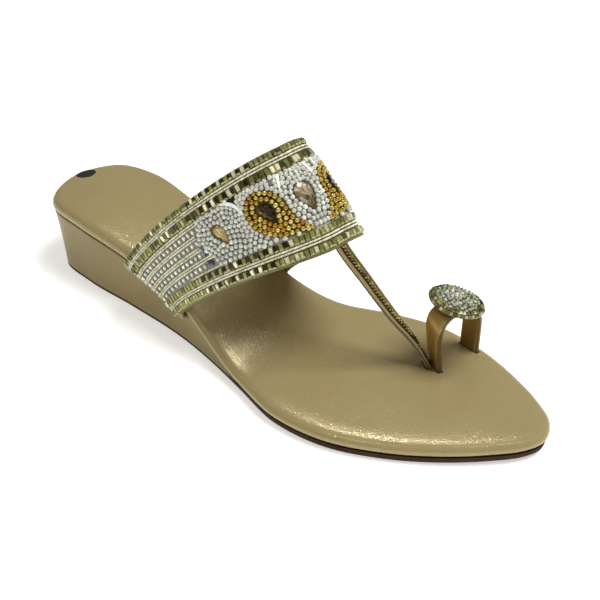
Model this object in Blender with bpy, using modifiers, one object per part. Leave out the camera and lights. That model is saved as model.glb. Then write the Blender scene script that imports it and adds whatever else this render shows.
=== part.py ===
"""Toe-loop wedge sandal, right shoe: outsole, covered wedge, padded footbed, one-piece upper, jewel plate.

The last lies along +X, heel to toe, with +Y on the big-toe side and +Z up. Every shape is worked out in
millimetres from the back of the heel. One empty carries the pieces to the part's own frame, whose origin is
on the floor under the middle of the whole shoe.
"""
import bmesh
import bpy
import math
import numpy as np
from mathutils import Vector

MM = 0.001

# Driving sizes, in millimetres
GAP = 0.3                   # play between pieces that touch
HEEL_TO_CENTRE = 126.0      # from the back of the heel to the part's origin
MIDLINE_SHIFT = 1.43        # from the part's origin to the last's own line, towards the big toe
FOREFOOT_RUBBER = 3.1       # floor to footbed seam ahead of the wedge
HEEL_RUBBER = 1.1
TOE_SPRING = 2.2
TOE_SPRING_START = 185.0
TOE_X = 252.0
ARCH_LIFT = 0.5
ARCH_X = (66.0, 124.0)      # where the underside leaves the floor and comes back to it
RUBBER_RAMP_X = (116.0, 140.0)
WEDGE_END_X = 136.0
FOOTBED_CROWN = 1.0         # how far the padded middle stands above the rim
CROWN_X = (7.0, 244.0)      # the crown starts and ends here
CROWN_RUN_OUT = 26.0
SLOT_PLAY = 0.35
WALL = 2.0                  # leather, backing and lining of the instep band
MARGIN = 7.0                # band leather lasted under the footbed
MARGIN_BEND = 2.4           # how far in the margin starts to turn up
MARGIN_CORNER = 0.6         # how far the turned corner is pulled in and up
MARGIN_PLAY = 0.45
FOOT_RISE = (2.0, 3.2)      # the band stands upright between these heights above its margin
CONNECTOR_WALL = 2.0
CONNECTOR_WIDTH = 6.0
LOOP_WALL = 2.2
LOOP_WIDTH = 9.6
LOOP_PITCH = 7.0            # degrees, front edge down

SPAN_STEPS = 16             # points along each span of the sole's outline
FINE = 6                    # fine steps of an edge in each of its stations
SIDE_STEPS = 36             # stations from heel to toe along each edge of the sole
WEDGE_STEPS = 22
CROSS_STEPS = 6
BAND_STEPS = 44
MARGIN_STEPS = 7
BAND_CROSS = 6
CONNECTOR_STEPS = 26
LOOP_STEPS = 40
PLATE_STEPS = 32

# Plan of the sole, seen from above: heel, little-toe side, toe, big-toe side
#   name, x, y
OUTLINE = (
    ("heel back", 0.0, 0.0),
    ("heel corner lateral", 9.5, -22.5),
    ("seat lateral", 33.0, -27.5),
    ("seat front lateral", 62.0, -28.0),
    ("waist lateral", 88.0, -29.5),
    ("shank lateral", 113.0, -33.0),
    ("tread back lateral", 138.0, -39.0),
    ("joint lateral", 162.0, -45.5),
    ("tread front lateral", 186.0, -44.0),
    ("small toe", 208.0, -35.0),
    ("middle toe", 226.0, -23.5),
    ("second toe", 240.0, -11.5),
    ("tip lateral", 249.0, -1.5),
    ("tip", 252.0, 7.0),
    ("tip medial", 248.0, 17.0),
    ("big toe front", 238.0, 25.0),
    ("big toe", 222.0, 33.5),
    ("big toe back", 204.0, 40.0),
    ("joint medial", 183.0, 43.0),
    ("tread back medial", 161.0, 38.5),
    ("shank medial", 140.0, 30.2),
    ("waist medial", 118.0, 24.0),
    ("waist back medial", 96.0, 21.5),
    ("seat front medial", 73.0, 22.5),
    ("seat medial", 51.0, 25.5),
    ("heel side medial", 29.0, 27.5),
    ("heel corner medial", 9.0, 21.5),
)
TIP = 13                    # row of the tip in OUTLINE

# Height of the wedge above the forefoot level:  x, height
WEDGE_HEIGHT = (
    (0, 27.8), (20, 27.3), (40, 26.0), (60, 23.2), (80, 19.2), (95, 15.7),
    (110, 10.0), (120, 5.6), (130, 2.0), (137, 0.5), (144, 0.0), (260, 0.0),
)

# How far each edge lies inside the plan:  x, floor edge, top of the rubber, footbed seam
EDGE_INSET = (
    (0, 5.2, 5.0, 1.9),
    (60, 3.6, 3.5, 1.9),
    (118, 2.1, 2.0, 1.9),
    (142, 1.5, 0.9, 1.9),
    (252, 1.3, 0.8, 1.9),
)
FLOOR_EDGE, RUBBER_EDGE, SEAM_EDGE = 1, 2, 3
TREAD_ROUND = 0.5           # the rubber's lower edge is rounded by this

# Padded rim of the footbed, from the seam over the roll to the flat:  inset, height
RIM = ((1.9, 0.0), (0.7, 0.8), (0.1, 1.9), (0.1, 2.9), (0.7, 3.9), (1.9, 4.8), (3.8, 5.4), (6.5, 5.8))

# The two edges of the instep band, on the middle of its wall
#   name, seam x lateral, seam x medial, crest x, crest z, crest shift towards the big toe
BAND_EDGES = (
    ("back", 66.6, 71.8, 127.8, 90.6, 4.8),
    ("front", 102.0, 110.8, 160.2, 60.2, 3.8),
)
BAND_ROUNDNESS = 0.67       # 1 is an ellipse, less is squarer
BAND_LEAN = 0.79            # less makes the sides lean forward sooner
BAND_BULGE = 1.5            # how far the middle of its width stands out
BULGE_WAY = (0.55, 0.6, 0.65)

# Connector strap, on its middle line:  name, x, y, z, turn of its width from straight across, in degrees
CONNECTOR = (
    ("under the band", 145.9, -0.5, 74.2, 0.0),
    ("band edge", 155.0, -0.5, 64.8, 0.0),
    ("clear of the band", 161.0, -0.4, 57.8, 0.0),
    ("upper bow", 169.4, 2.2, 47.2, 8.0),
    ("middle", 180.2, 6.6, 32.2, 20.0),
    ("lower bow", 187.4, 10.6, 22.2, 36.0),
    ("above the slot", 191.8, 13.6, 12.6, 52.0),
    ("in the slot", 193.7, 15.0, 7.0, 56.0),
    ("slot end", 194.7, 15.8, 3.9, 56.0),
)

# Toe loop, on the middle of its wall:  name, x, y, z, turn of its width from the last's line, in degrees
LOOP = (
    ("lateral slot end", 196.0, 16.8, 3.5, -34.0),
    ("lateral slot", 195.8, 16.4, 10.0, -33.0),
    ("lateral low", 195.5, 14.9, 18.0, -27.0),
    ("lateral middle", 195.6, 13.7, 25.0, -23.0),
    ("lateral high", 196.0, 13.2, 30.0, -17.0),
    ("lateral shoulder", 196.5, 14.8, 33.8, -10.0),
    ("top lateral", 197.0, 18.8, 35.0, -5.0),
    ("top", 197.8, 25.0, 34.2, -5.0),
    ("top medial", 198.3, 31.2, 32.6, -7.0),
    ("medial shoulder", 198.8, 34.8, 29.6, -9.0),
    ("medial high", 199.0, 35.9, 25.0, -10.0),
    ("medial slot", 199.0, 35.8, 10.0, -10.0),
    ("medial slot end", 199.0, 35.8, 3.5, -10.0),
)

# Slots in the footbed, cut right through it:  name, x, y, width, thickness, turn in degrees
SLOTS = (
    ("slot_lateral", 194.9, 14.9, LOOP_WIDTH + 2 * SLOT_PLAY, 7.2, -33.0),
    ("slot_medial", 199.0, 35.8, LOOP_WIDTH + 2 * SLOT_PLAY, LOOP_WALL + 2 * SLOT_PLAY, -10.0),
)
SLOT_MIDDLE = 8.0           # height of a slot cutter's middle
SLOT_DEPTH = 40.0

# Jewel plate, from the rim of its underside to near the middle of its top:  radius, height
PLATE = ((9.3, 0.0), (10.5, 0.5), (10.6, 1.3), (10.0, 2.0), (7.2, 2.9), (3.9, 3.3), (0.0, 3.4))
PLATE_STRETCH = 1.05
PLATE_CENTRE = (198.0, 24.0, 35.8)      # middle of its underside
PLATE_ROLL = -9.5
PLATE_PITCH = 8.0


# ---------------------------------------------------------------- curves

def column(rows, index):
    """One column of a table as an array."""
    return np.array([row[index] for row in rows], dtype=float)


def soft_table(rows, x, index=1):
    """Read a table's column at x along a smooth curve that never overshoots its rows."""
    xs, ys = column(rows, 0), column(rows, index)
    steps, rises = np.diff(xs), np.diff(ys)
    slopes = rises / steps
    ends = np.zeros(len(xs))
    both = slopes[:-1] * slopes[1:] > 0
    inner = np.where(both, 2 * slopes[:-1] * slopes[1:] / np.where(both, slopes[:-1] + slopes[1:], 1.0), 0.0)
    ends[1:-1], ends[0], ends[-1] = inner, slopes[0], slopes[-1]
    x = np.clip(np.asarray(x, dtype=float), xs[0], xs[-1])
    i = np.clip(np.searchsorted(xs, x, side="right") - 1, 0, len(steps) - 1)
    t = (x - xs[i]) / steps[i]
    return ((2 * t ** 3 - 3 * t ** 2 + 1) * ys[i] + (t ** 3 - 2 * t ** 2 + t) * steps[i] * ends[i]
            + (3 * t ** 2 - 2 * t ** 3) * ys[i + 1] + (t ** 3 - t ** 2) * steps[i] * ends[i + 1])


def smooth_path(points, per_span=12, closed=False):
    """A centripetal Catmull-Rom curve through the points."""
    points = np.asarray(points, dtype=float)
    if closed:
        points = np.vstack([points[-1:], points, points[:2]])
    else:
        points = np.vstack([2 * points[0] - points[1], points, 2 * points[-1] - points[-2]])
    curve = []
    for p0, p1, p2, p3 in zip(points, points[1:], points[2:], points[3:]):
        t0 = 0.0
        t1 = t0 + math.sqrt(np.linalg.norm(p1 - p0))
        t2 = t1 + math.sqrt(np.linalg.norm(p2 - p1))
        t3 = t2 + math.sqrt(np.linalg.norm(p3 - p2))
        for t in np.linspace(t1, t2, per_span, endpoint=False):
            a1 = (t1 - t) / (t1 - t0) * p0 + (t - t0) / (t1 - t0) * p1
            a2 = (t2 - t) / (t2 - t1) * p1 + (t - t1) / (t2 - t1) * p2
            a3 = (t3 - t) / (t3 - t2) * p2 + (t - t2) / (t3 - t2) * p3
            b1 = (t2 - t) / (t2 - t0) * a1 + (t - t0) / (t2 - t0) * a2
            b2 = (t3 - t) / (t3 - t1) * a2 + (t - t1) / (t3 - t1) * a3
            curve.append((t2 - t) / (t2 - t1) * b1 + (t - t1) / (t2 - t1) * b2)
    curve.append(points[-2])
    return np.array(curve)


def even_steps(path, steps):
    """The path's points, respaced evenly along its length."""
    lengths = np.concatenate([[0.0], np.cumsum(np.linalg.norm(np.diff(path, axis=0), axis=1))])
    marks = np.linspace(0.0, lengths[-1], steps + 1)
    return np.column_stack([np.interp(marks, lengths, path[:, k]) for k in range(path.shape[1])])


# ---------------------------------------------------------------- the last's bottom

def edge_curve(side):
    """Plan of one edge from heel to toe, with its outward normals."""
    loop = smooth_path([(x, y) for _, x, y in OUTLINE], per_span=SPAN_STEPS, closed=True)
    tip = TIP * SPAN_STEPS
    path = loop[:tip + 1] if side == "lateral" else loop[tip:][::-1]
    path = even_steps(path, FINE * SIDE_STEPS)
    tangent = np.gradient(path, axis=0)
    if side == "lateral":
        tangent[0], tangent[-1] = (0.0, -1.0), (0.0, 1.0)
    else:
        tangent[0], tangent[-1] = (0.0, 1.0), (0.0, -1.0)
    tangent /= np.linalg.norm(tangent, axis=1)[:, None]
    normal = np.column_stack([tangent[:, 1], -tangent[:, 0]])
    return path, normal if side == "lateral" else -normal


EDGES = {side: edge_curve(side) for side in ("lateral", "medial")}


def floor_rise(x):
    """Height of the tread above the floor: toe spring and a slight arch between two flat spots."""
    spring = TOE_SPRING * (np.clip(x - TOE_SPRING_START, 0, None) / (TOE_X - TOE_SPRING_START)) ** 2
    start, end = ARCH_X
    along = np.clip((x - start) / (end - start), 0.0, 1.0)
    return spring + ARCH_LIFT * np.sin(np.pi * along) ** 2


def rubber(x):
    """Thickness of the outsole."""
    start, end = RUBBER_RAMP_X
    t = np.clip((x - start) / (end - start), 0.0, 1.0)
    return HEEL_RUBBER + (FOREFOOT_RUBBER - GAP - HEEL_RUBBER) * t * t * (3 - 2 * t)


def seam_height(x):
    """Underside of the footbed."""
    return floor_rise(x) + FOREFOOT_RUBBER + soft_table(WEDGE_HEIGHT, x)


def edge_inset(x, index):
    return np.interp(x, column(EDGE_INSET, 0), column(EDGE_INSET, index))


def at_edge(side, x, inset=0.0):
    """The plan point of one edge at a given x."""
    path, normal = EDGES[side]
    body = slice(0, int(np.argmax(path[:, 0])) + 1)
    p = np.array([np.interp(x, path[body, 0], path[body, k]) for k in (0, 1)])
    n = np.array([np.interp(x, path[body, 0], normal[body, k]) for k in (0, 1)])
    return p - inset * n


# ---------------------------------------------------------------- mesh helpers

def material(name, colour, roughness, metallic=0.0):
    made = bpy.data.materials.new(name)
    made.use_nodes = True
    shader = made.node_tree.nodes["Principled BSDF"]
    shader.inputs["Base Color"].default_value = (*colour, 1.0)
    shader.inputs["Roughness"].default_value = roughness
    shader.inputs["Metallic"].default_value = metallic
    made.diffuse_color = (*colour, 1.0)
    return made


def new_object(name, mesh, collection, parent, finish=None):
    made = bpy.data.objects.new(name, mesh)
    collection.objects.link(made)
    made.parent = parent
    if finish:
        made.data.materials.append(finish)
    return made


def smooth(mesh, angle=40.0):
    mesh.shade_smooth()
    mesh.set_sharp_from_angle(angle=math.radians(angle))


def close_mesh(name, bm):
    bmesh.ops.remove_doubles(bm, verts=bm.verts, dist=1e-6)
    bmesh.ops.recalc_face_normals(bm, faces=bm.faces)
    mesh = bpy.data.meshes.new(name)
    bm.to_mesh(mesh)
    bm.free()
    smooth(mesh)
    return mesh


def grid_faces(bm, rows):
    for row, following in zip(rows, rows[1:]):
        for a, b, c, d in zip(row, row[1:], following[1:], following):
            corners = [v for i, v in enumerate((a, b, c, d)) if v not in (a, b, c, d)[:i]]
            if len(corners) > 2:
                bm.faces.new(corners)


def sheet_mesh(name, rows):
    """An open sheet through rows of points in millimetres."""
    bm = bmesh.new()
    grid_faces(bm, [[bm.verts.new(Vector(p) * MM) for p in row] for row in rows])
    bmesh.ops.recalc_face_normals(bm, faces=bm.faces)
    mesh = bpy.data.meshes.new(name)
    bm.to_mesh(mesh)
    bm.free()
    smooth(mesh)
    return mesh


def edge_points(side, inset, height, last_x=None):
    """Points of one edge of a level, from the heel to the toe or to last_x."""
    path, normal = EDGES[side]
    plan = path - inset(path[:, 0])[:, None] * normal
    if last_x is None:
        plan = plan[::FINE]
    else:
        body = plan[:int(np.argmax(plan[:, 0]))]
        end = last_x, np.interp(last_x, body[:, 0], body[:, 1])
        plan = even_steps(np.vstack([body[body[:, 0] < last_x], end]), WEDGE_STEPS)
    return [(x, y, float(height(x))) for x, y in plan]


def layer_mesh(name, levels, top, bottom, last_x=None):
    """A closed layer of the sole. levels run from its lowest edge to its highest as (inset(x), height(x)).

    Its top and bottom are grids between the two edges, with heights top(x, across) and bottom(x, across),
    across running from -1 at one edge to 1 at the other. With last_x it ends there in a blunt front face.
    """
    bm = bmesh.new()
    left, right = ([[bm.verts.new(Vector(p) * MM) for p in edge_points(side, inset, height, last_x)]
                    for inset, height in levels] for side in ("lateral", "medial"))
    for lateral, medial in zip(left, right):
        medial[0] = lateral[0]
        if last_x is None:
            medial[-1] = lateral[-1]
    grid_faces(bm, left)
    grid_faces(bm, right)
    caps = []
    for level, height in ((0, bottom), (-1, top)):
        rows = []
        for a, b in zip(left[level], right[level]):
            row = [a]
            for k in range(1, CROSS_STEPS):
                p = a.co.lerp(b.co, k / CROSS_STEPS)
                p.z = float(height(p.x / MM, 2.0 * k / CROSS_STEPS - 1.0)) * MM
                row.append(a if a is b else bm.verts.new(p))
            rows.append(row + [b])
        grid_faces(bm, rows)
        caps.append(rows[-1])
    if last_x is not None:
        up = [level[-1] for level in right[1:-1]]
        down = [level[-1] for level in left[-2:0:-1]]
        bm.faces.new(caps[0] + up + caps[1][::-1] + down)
    return close_mesh(name, bm)


# ---------------------------------------------------------------- sole pieces

def outsole_mesh():
    def top(x, across=0.0):
        return floor_rise(x) + rubber(x)

    levels = (
        (lambda x: edge_inset(x, FLOOR_EDGE) + TREAD_ROUND, floor_rise),
        (lambda x: edge_inset(x, FLOOR_EDGE), lambda x: floor_rise(x) + TREAD_ROUND),
        (lambda x: edge_inset(x, RUBBER_EDGE), top),
    )
    return layer_mesh("outsole", levels, top, lambda x, across: floor_rise(x))


def wedge_mesh():
    def top(x, across=0.0):
        return seam_height(x) - GAP

    def bottom(x, across=0.0):
        return floor_rise(x) + rubber(x) + GAP

    def at(share):
        return (lambda x: edge_inset(x, RUBBER_EDGE) * (1 - share) + edge_inset(x, SEAM_EDGE) * share,
                lambda x: bottom(x) * (1 - share) + top(x) * share)

    return layer_mesh("wedge", (at(0.0), at(0.5), at(1.0)), top, bottom, last_x=WEDGE_END_X)


def footbed_mesh():
    rim_height = RIM[-1][1]
    levels = [(lambda x, inset=inset: np.full_like(x, inset, dtype=float),
               lambda x, height=height: seam_height(x) + height) for inset, height in RIM]

    def top(x, across):
        start, end = CROWN_X
        run_out = np.clip(np.minimum(x - start, end - x) / CROWN_RUN_OUT, 0.0, 1.0)
        crown = FOOTBED_CROWN * run_out * (2 - run_out)
        return seam_height(x) + rim_height + crown * (1 - across ** 2)

    return layer_mesh("footbed", levels, top, lambda x, across: seam_height(x))


# ---------------------------------------------------------------- upper

def seam_x(share):
    """Where the band meets the seam, on the lateral and on the medial side, at one share of its width."""
    (_, back_l, back_m, *_), (_, front_l, front_m, *_) = BAND_EDGES
    return {"lateral": back_l + (front_l - back_l) * share, "medial": back_m + (front_m - back_m) * share}


def margin_point(side, x, inset, lift=0.0):
    """A point on the middle of the lasted leather, under the footbed and a given way in from its edge."""
    x, y = at_edge(side, x, inset)
    return x, y, float(seam_height(x)) - MARGIN_PLAY - WALL / 2 + lift


def band_foot(side, x):
    """The middle of the wall from the end of its margin, round the footbed's lower edge, to its foot."""
    stand = GAP + WALL / 2
    upright = at_edge(side, x, -stand)
    under = margin_point(side, x, 0.0)[2]
    return [
        margin_point(side, x, MARGIN),
        margin_point(side, x, MARGIN_BEND),
        margin_point(side, x, MARGIN_CORNER - stand, MARGIN_CORNER),
        *((*upright, under + rise) for rise in FOOT_RISE),
    ]


def band_row(share):
    """The band's middle line at one share of its width, from margin to margin."""
    back, front = (np.array(row[3:]) for row in BAND_EDGES)
    crest_x, crest_z, shift = back + (front - back) * share
    lateral, medial = (band_foot(side, x) for side, x in seam_x(share).items())
    start, end = np.array(lateral[-1]), np.array(medial[-1])
    middle, reach = (start + end) / 2, end - start

    turn = np.linspace(0.0, math.pi, 161)[1:-1]
    sine, cosine = np.sin(turn), np.cos(turn)
    rise = sine ** BAND_ROUNDNESS
    base = start + reach * ((1 - cosine) / 2)[:, None]
    x = base[:, 0] + (crest_x - middle[0]) * sine ** BAND_LEAN
    y = middle[1] - reach[1] / 2 * np.sign(cosine) * np.abs(cosine) ** BAND_ROUNDNESS + shift * sine
    z = base[:, 2] + (crest_z - middle[2]) * rise
    bulge = BAND_BULGE * 4 * share * (1 - share) * sine
    way = np.column_stack([rise, -cosine, rise]) * BULGE_WAY
    arch = np.column_stack([x, y, z]) + bulge[:, None] * way

    near = smooth_path(lateral, per_span=6)
    far = smooth_path(medial, per_span=6)[::-1]
    return [
        *even_steps(near, MARGIN_STEPS)[:-1],
        *even_steps(np.vstack([near[-1:], arch, far[:1]]), BAND_STEPS),
        *even_steps(far, MARGIN_STEPS)[1:],
    ]


def ribbon_rows(rows, width, steps, across, pitch=0.0):
    """Rows of points over the width of a strap that follows a table's middle line.

    Its width starts from straight across the last, or else from along it and pitched forward.
    """
    path = even_steps(smooth_path([row[1:5] for row in rows]), steps)
    tilt = math.radians(pitch)
    made = []
    for i, (x, y, z, turn) in enumerate(path):
        ahead, behind = path[min(i + 1, len(path) - 1), :3], path[max(i - 1, 0), :3]
        along = (ahead - behind) / np.linalg.norm(ahead - behind)
        yaw = math.radians(turn)
        if across:
            wide = np.array([math.sin(yaw), -math.cos(yaw), 0.0])
        else:
            wide = np.array([math.cos(yaw) * math.cos(tilt), math.sin(yaw) * math.cos(tilt), -math.sin(tilt)])
        wide -= along * wide.dot(along)
        wide /= np.linalg.norm(wide)
        middle = np.array([x, y, z])
        made.append([middle + wide * width * k for k in (-0.5, 0.0, 0.5)])
    return made


def thicken(made, wall):
    shell = made.modifiers.new("wall", "SOLIDIFY")
    shell.thickness = wall * MM
    shell.offset = 0.0
    shell.use_even_offset = True


def build_upper(collection, tools, carrier, finish):
    rows = [band_row(share) for share in np.linspace(0.0, 1.0, BAND_CROSS + 1)]
    upper = new_object("upper", sheet_mesh("upper", rows), collection, carrier, finish)
    thicken(upper, WALL)
    straps = (
        ("connector", ribbon_rows(CONNECTOR, CONNECTOR_WIDTH, CONNECTOR_STEPS, True), CONNECTOR_WALL),
        ("toe_loop", ribbon_rows(LOOP, LOOP_WIDTH, LOOP_STEPS, False, LOOP_PITCH), LOOP_WALL),
    )
    for name, strap_rows, wall in straps:
        strap = new_object(name, sheet_mesh(name, strap_rows), tools, carrier)
        thicken(strap, wall)
        hide(strap)
        join = upper.modifiers.new("join " + name, "BOOLEAN")
        join.operation = "UNION"
        join.solver = "EXACT"
        join.object = strap
    return upper


# ---------------------------------------------------------------- cutters

def hide(made):
    made.hide_render = True
    made.display_type = "WIRE"


def cut(target, cutter):
    hide(cutter)
    away = target.modifiers.new("cut " + cutter.name, "BOOLEAN")
    away.operation = "DIFFERENCE"
    away.solver = "EXACT"
    away.object = cutter


def margin_pockets(tools, carrier):
    """The room that the band's lasted margins take out of the wedge."""
    beyond = 0.03
    insets = (MARGIN + 0.5, 0.0, -6.0)
    pockets = []
    for side in ("lateral", "medial"):
        rows = [[margin_point(side, seam_x(share)[side], inset) for inset in insets]
                for share in np.linspace(-beyond, 1.0 + beyond, BAND_CROSS + 3)]
        pocket = new_object("pocket_" + side, sheet_mesh("pocket_" + side, rows), tools, carrier)
        thicken(pocket, WALL + 2 * GAP)
        pockets.append(pocket)
    return pockets


def slot_cutter(name, x, y, width, thickness, turn, tools, carrier):
    mesh = bpy.data.meshes.new(name)
    bm = bmesh.new()
    bmesh.ops.create_cube(bm, size=1.0)
    bmesh.ops.scale(bm, vec=Vector((width, thickness, SLOT_DEPTH)) * MM, verts=bm.verts)
    bm.to_mesh(mesh)
    bm.free()
    cutter = new_object(name, mesh, tools, carrier)
    cutter.location = Vector((x, y, SLOT_MIDDLE)) * MM
    cutter.rotation_euler = (0.0, 0.0, math.radians(turn))
    return cutter


# ---------------------------------------------------------------- ornament

def build_ornament(collection, carrier, finish):
    mesh = bpy.data.meshes.new("toe_ornament")
    profile = [*PLATE[::-1], (0.0, PLATE[0][1])]
    verts = [(r * MM, 0.0, z * MM) for r, z in profile]
    mesh.from_pydata(verts, [(i, i + 1) for i in range(len(verts) - 1)], [])
    plate = new_object("toe_ornament", mesh, collection, carrier, finish)
    turn = plate.modifiers.new("turn", "SCREW")
    turn.steps = PLATE_STEPS
    turn.render_steps = PLATE_STEPS
    turn.use_merge_vertices = True
    turn.merge_threshold = 0.00001
    turn.use_normal_calculate = True
    turn.use_smooth_shade = True
    plate.location = Vector(PLATE_CENTRE) * MM
    plate.rotation_euler = (math.radians(PLATE_ROLL), math.radians(PLATE_PITCH), 0.0)
    plate.scale = (PLATE_STRETCH, 1.0, 1.0)
    return plate


# ---------------------------------------------------------------- assembly

def main():
    for old in list(bpy.data.objects):
        bpy.data.objects.remove(old)
    scene = bpy.context.scene
    pieces = bpy.data.collections.new("toe_loop_sandal")
    tools = bpy.data.collections.new("cutters")
    scene.collection.children.link(pieces)
    scene.collection.children.link(tools)

    carrier = bpy.data.objects.new("last", None)
    pieces.objects.link(carrier)
    carrier.location = (-HEEL_TO_CENTRE * MM, MIDLINE_SHIFT * MM, 0.0)

    rubber_brown = material("rubber_brown", (0.045, 0.022, 0.012), 0.6)
    gold_cover = material("gold_cover", (0.36, 0.27, 0.13), 0.42, 0.35)
    gold_footbed = material("gold_footbed", (0.46, 0.36, 0.18), 0.36, 0.35)
    beaded = material("beaded_leather", (0.42, 0.40, 0.28), 0.35, 0.3)
    jewel = material("jewel", (0.62, 0.64, 0.52), 0.15, 0.6)

    new_object("outsole", outsole_mesh(), pieces, carrier, rubber_brown)
    wedge = new_object("wedge", wedge_mesh(), pieces, carrier, gold_cover)
    for pocket in margin_pockets(tools, carrier):
        cut(wedge, pocket)
    footbed = new_object("footbed", footbed_mesh(), pieces, carrier, gold_footbed)
    for slot in SLOTS:
        cut(footbed, slot_cutter(*slot, tools, carrier))
    build_upper(pieces, tools, carrier, beaded)
    build_ornament(pieces, carrier, jewel)


main()
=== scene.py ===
"""Looks of the toe-loop wedge sandal: covers, beadwork, stones, straps and the stage.

Shapes are worked out in millimetres on the shoemaker's last, whose X runs from the back of the heel to the toe,
and are put in the packed model's frame when a mesh is made.
"""
import functools
import math
from types import SimpleNamespace

import bmesh
import bpy
import numpy as np
from mathutils import Euler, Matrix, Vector


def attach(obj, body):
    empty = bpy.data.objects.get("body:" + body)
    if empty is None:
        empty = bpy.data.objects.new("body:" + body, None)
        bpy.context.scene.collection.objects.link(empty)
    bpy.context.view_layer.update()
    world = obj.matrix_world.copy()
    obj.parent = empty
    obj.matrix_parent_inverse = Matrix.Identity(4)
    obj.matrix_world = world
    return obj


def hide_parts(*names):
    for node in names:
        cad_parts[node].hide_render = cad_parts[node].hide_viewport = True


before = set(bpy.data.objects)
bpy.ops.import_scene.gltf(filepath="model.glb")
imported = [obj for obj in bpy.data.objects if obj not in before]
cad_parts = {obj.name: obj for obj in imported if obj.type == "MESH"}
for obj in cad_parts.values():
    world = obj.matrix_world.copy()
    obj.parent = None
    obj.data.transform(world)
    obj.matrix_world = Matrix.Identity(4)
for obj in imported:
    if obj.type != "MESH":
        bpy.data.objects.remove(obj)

bl_info = {
    "name": "Beaded toe-loop sandal",
    "version": (1, 0, 0),
    "blender": (4, 5, 0),
    "location": "3D View > Sidebar > Sandal",
    "description": "Dresses the packed sandal with its covers, beadwork, stones, straps and stage",
    "category": "Add Mesh",
}

MM = 0.001
SHARP = math.radians(50.0)    # faces that meet at more than this show an edge

# ---------------------------------------------------------------- the last, as the part's solids use it

LAST_ORIGIN = (126.0, -1.43, 0.0)    # the part's own origin
GAP = 0.3
FOREFOOT_RUBBER, HEEL_RUBBER = 3.1, 1.1
RUBBER_RAMP_X = (116.0, 140.0)
TOE_SPRING, TOE_SPRING_START, TOE_X = 2.2, 185.0, 252.0
ARCH_LIFT, ARCH_X = 0.5, (66.0, 124.0)
WEDGE_END_X = 136.0
FOOTBED_CROWN, CROWN_X, CROWN_RUN_OUT = 1.0, (7.0, 244.0), 26.0
WALL = 2.0
MARGIN, MARGIN_BEND, MARGIN_CORNER, MARGIN_PLAY = 7.0, 2.4, 0.6, 0.45
FOOT_RISE = (2.0, 3.2)
CONNECTOR_WIDTH = 6.0
LOOP_WALL, LOOP_WIDTH, LOOP_PITCH = 2.2, 9.6, 7.0
OUTLINE = (
    (0.0, 0.0), (9.5, -22.5), (33.0, -27.5), (62.0, -28.0), (88.0, -29.5), (113.0, -33.0), (138.0, -39.0),
    (162.0, -45.5), (186.0, -44.0), (208.0, -35.0), (226.0, -23.5), (240.0, -11.5), (249.0, -1.5),
    (252.0, 7.0), (248.0, 17.0), (238.0, 25.0), (222.0, 33.5), (204.0, 40.0), (183.0, 43.0), (161.0, 38.5),
    (140.0, 30.2), (118.0, 24.0), (96.0, 21.5), (73.0, 22.5), (51.0, 25.5), (29.0, 27.5), (9.0, 21.5),
)
TIP = 13
WEDGE_HEIGHT = (
    (0, 27.8), (20, 27.3), (40, 26.0), (60, 23.2), (80, 19.2), (95, 15.7),
    (110, 10.0), (120, 5.6), (130, 2.0), (137, 0.5), (144, 0.0), (260, 0.0),
)
# x, then how far in the sole's edge lies at the floor, at the top of the rubber and at the footbed's seam
EDGE_INSET = ((0, 5.2, 5.0, 1.9), (60, 3.6, 3.5, 1.9), (118, 2.1, 2.0, 1.9), (142, 1.5, 0.9, 1.9), (252, 1.3, 0.8, 1.9))
FLOOR_EDGE, RUBBER_EDGE = 1, 2
RIM = ((1.9, 0.0), (0.7, 0.8), (0.1, 1.9), (0.1, 2.9), (0.7, 3.9), (1.9, 4.8), (3.8, 5.4), (6.5, 5.8))
HEEL_RIM = ((2.3, 0.0), (1.75, 0.35), (1.4, 1.3), (1.4, 2.4), (1.8, 3.6), (2.7, 4.7), (4.3, 5.4), (6.5, 5.8))
HEEL_RIM_X = (70.0, 130.0)    # the tight rim of the heel opens into the full roll of the forefoot
# the band's back and front edge: x of the lateral foot, of the medial foot and of the crest, its height and shift
BAND_EDGES = ((66.6, 71.8, 127.8, 90.6, 4.8), (102.0, 110.8, 160.2, 60.2, 3.8))
BAND_ROUNDNESS, BAND_LEAN, BAND_BULGE = 0.67, 0.79, 1.5
BULGE_WAY = (0.55, 0.6, 0.65)
# straps: x, y, z and the turn of the leather
CONNECTOR = (
    (145.9, -0.5, 74.2, 0.0), (155.0, -0.5, 64.8, 0.0), (161.0, -0.4, 57.8, 0.0), (169.4, 2.2, 47.2, 8.0),
    (180.2, 6.6, 32.2, 20.0), (187.4, 10.6, 22.2, 36.0), (191.8, 13.6, 12.6, 52.0), (193.7, 15.0, 7.0, 56.0),
    (194.7, 15.8, 3.9, 56.0),
)
LOOP = (
    (196.0, 16.8, 3.5, -34.0), (195.8, 16.4, 10.0, -33.0), (195.5, 14.9, 18.0, -27.0), (195.6, 13.7, 25.0, -23.0),
    (196.0, 13.2, 30.0, -17.0), (196.5, 14.8, 33.8, -10.0), (197.0, 18.8, 35.0, -5.0), (197.8, 25.0, 34.2, -5.0),
    (198.3, 31.2, 32.6, -7.0), (198.8, 34.8, 29.6, -9.0), (199.0, 35.9, 25.0, -10.0), (199.0, 35.8, 10.0, -10.0),
    (199.0, 35.8, 3.5, -10.0),
)
PLATE = ((10.6, 1.3), (10.0, 2.0), (7.2, 2.9), (3.9, 3.3), (0.0, 3.4))
PLATE_STRETCH, PLATE_CENTRE, PLATE_ROLL, PLATE_PITCH = 1.05, (198.0, 24.0, 35.8), -9.5, 8.0

# ---------------------------------------------------------------- finer steps for the looks

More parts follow.
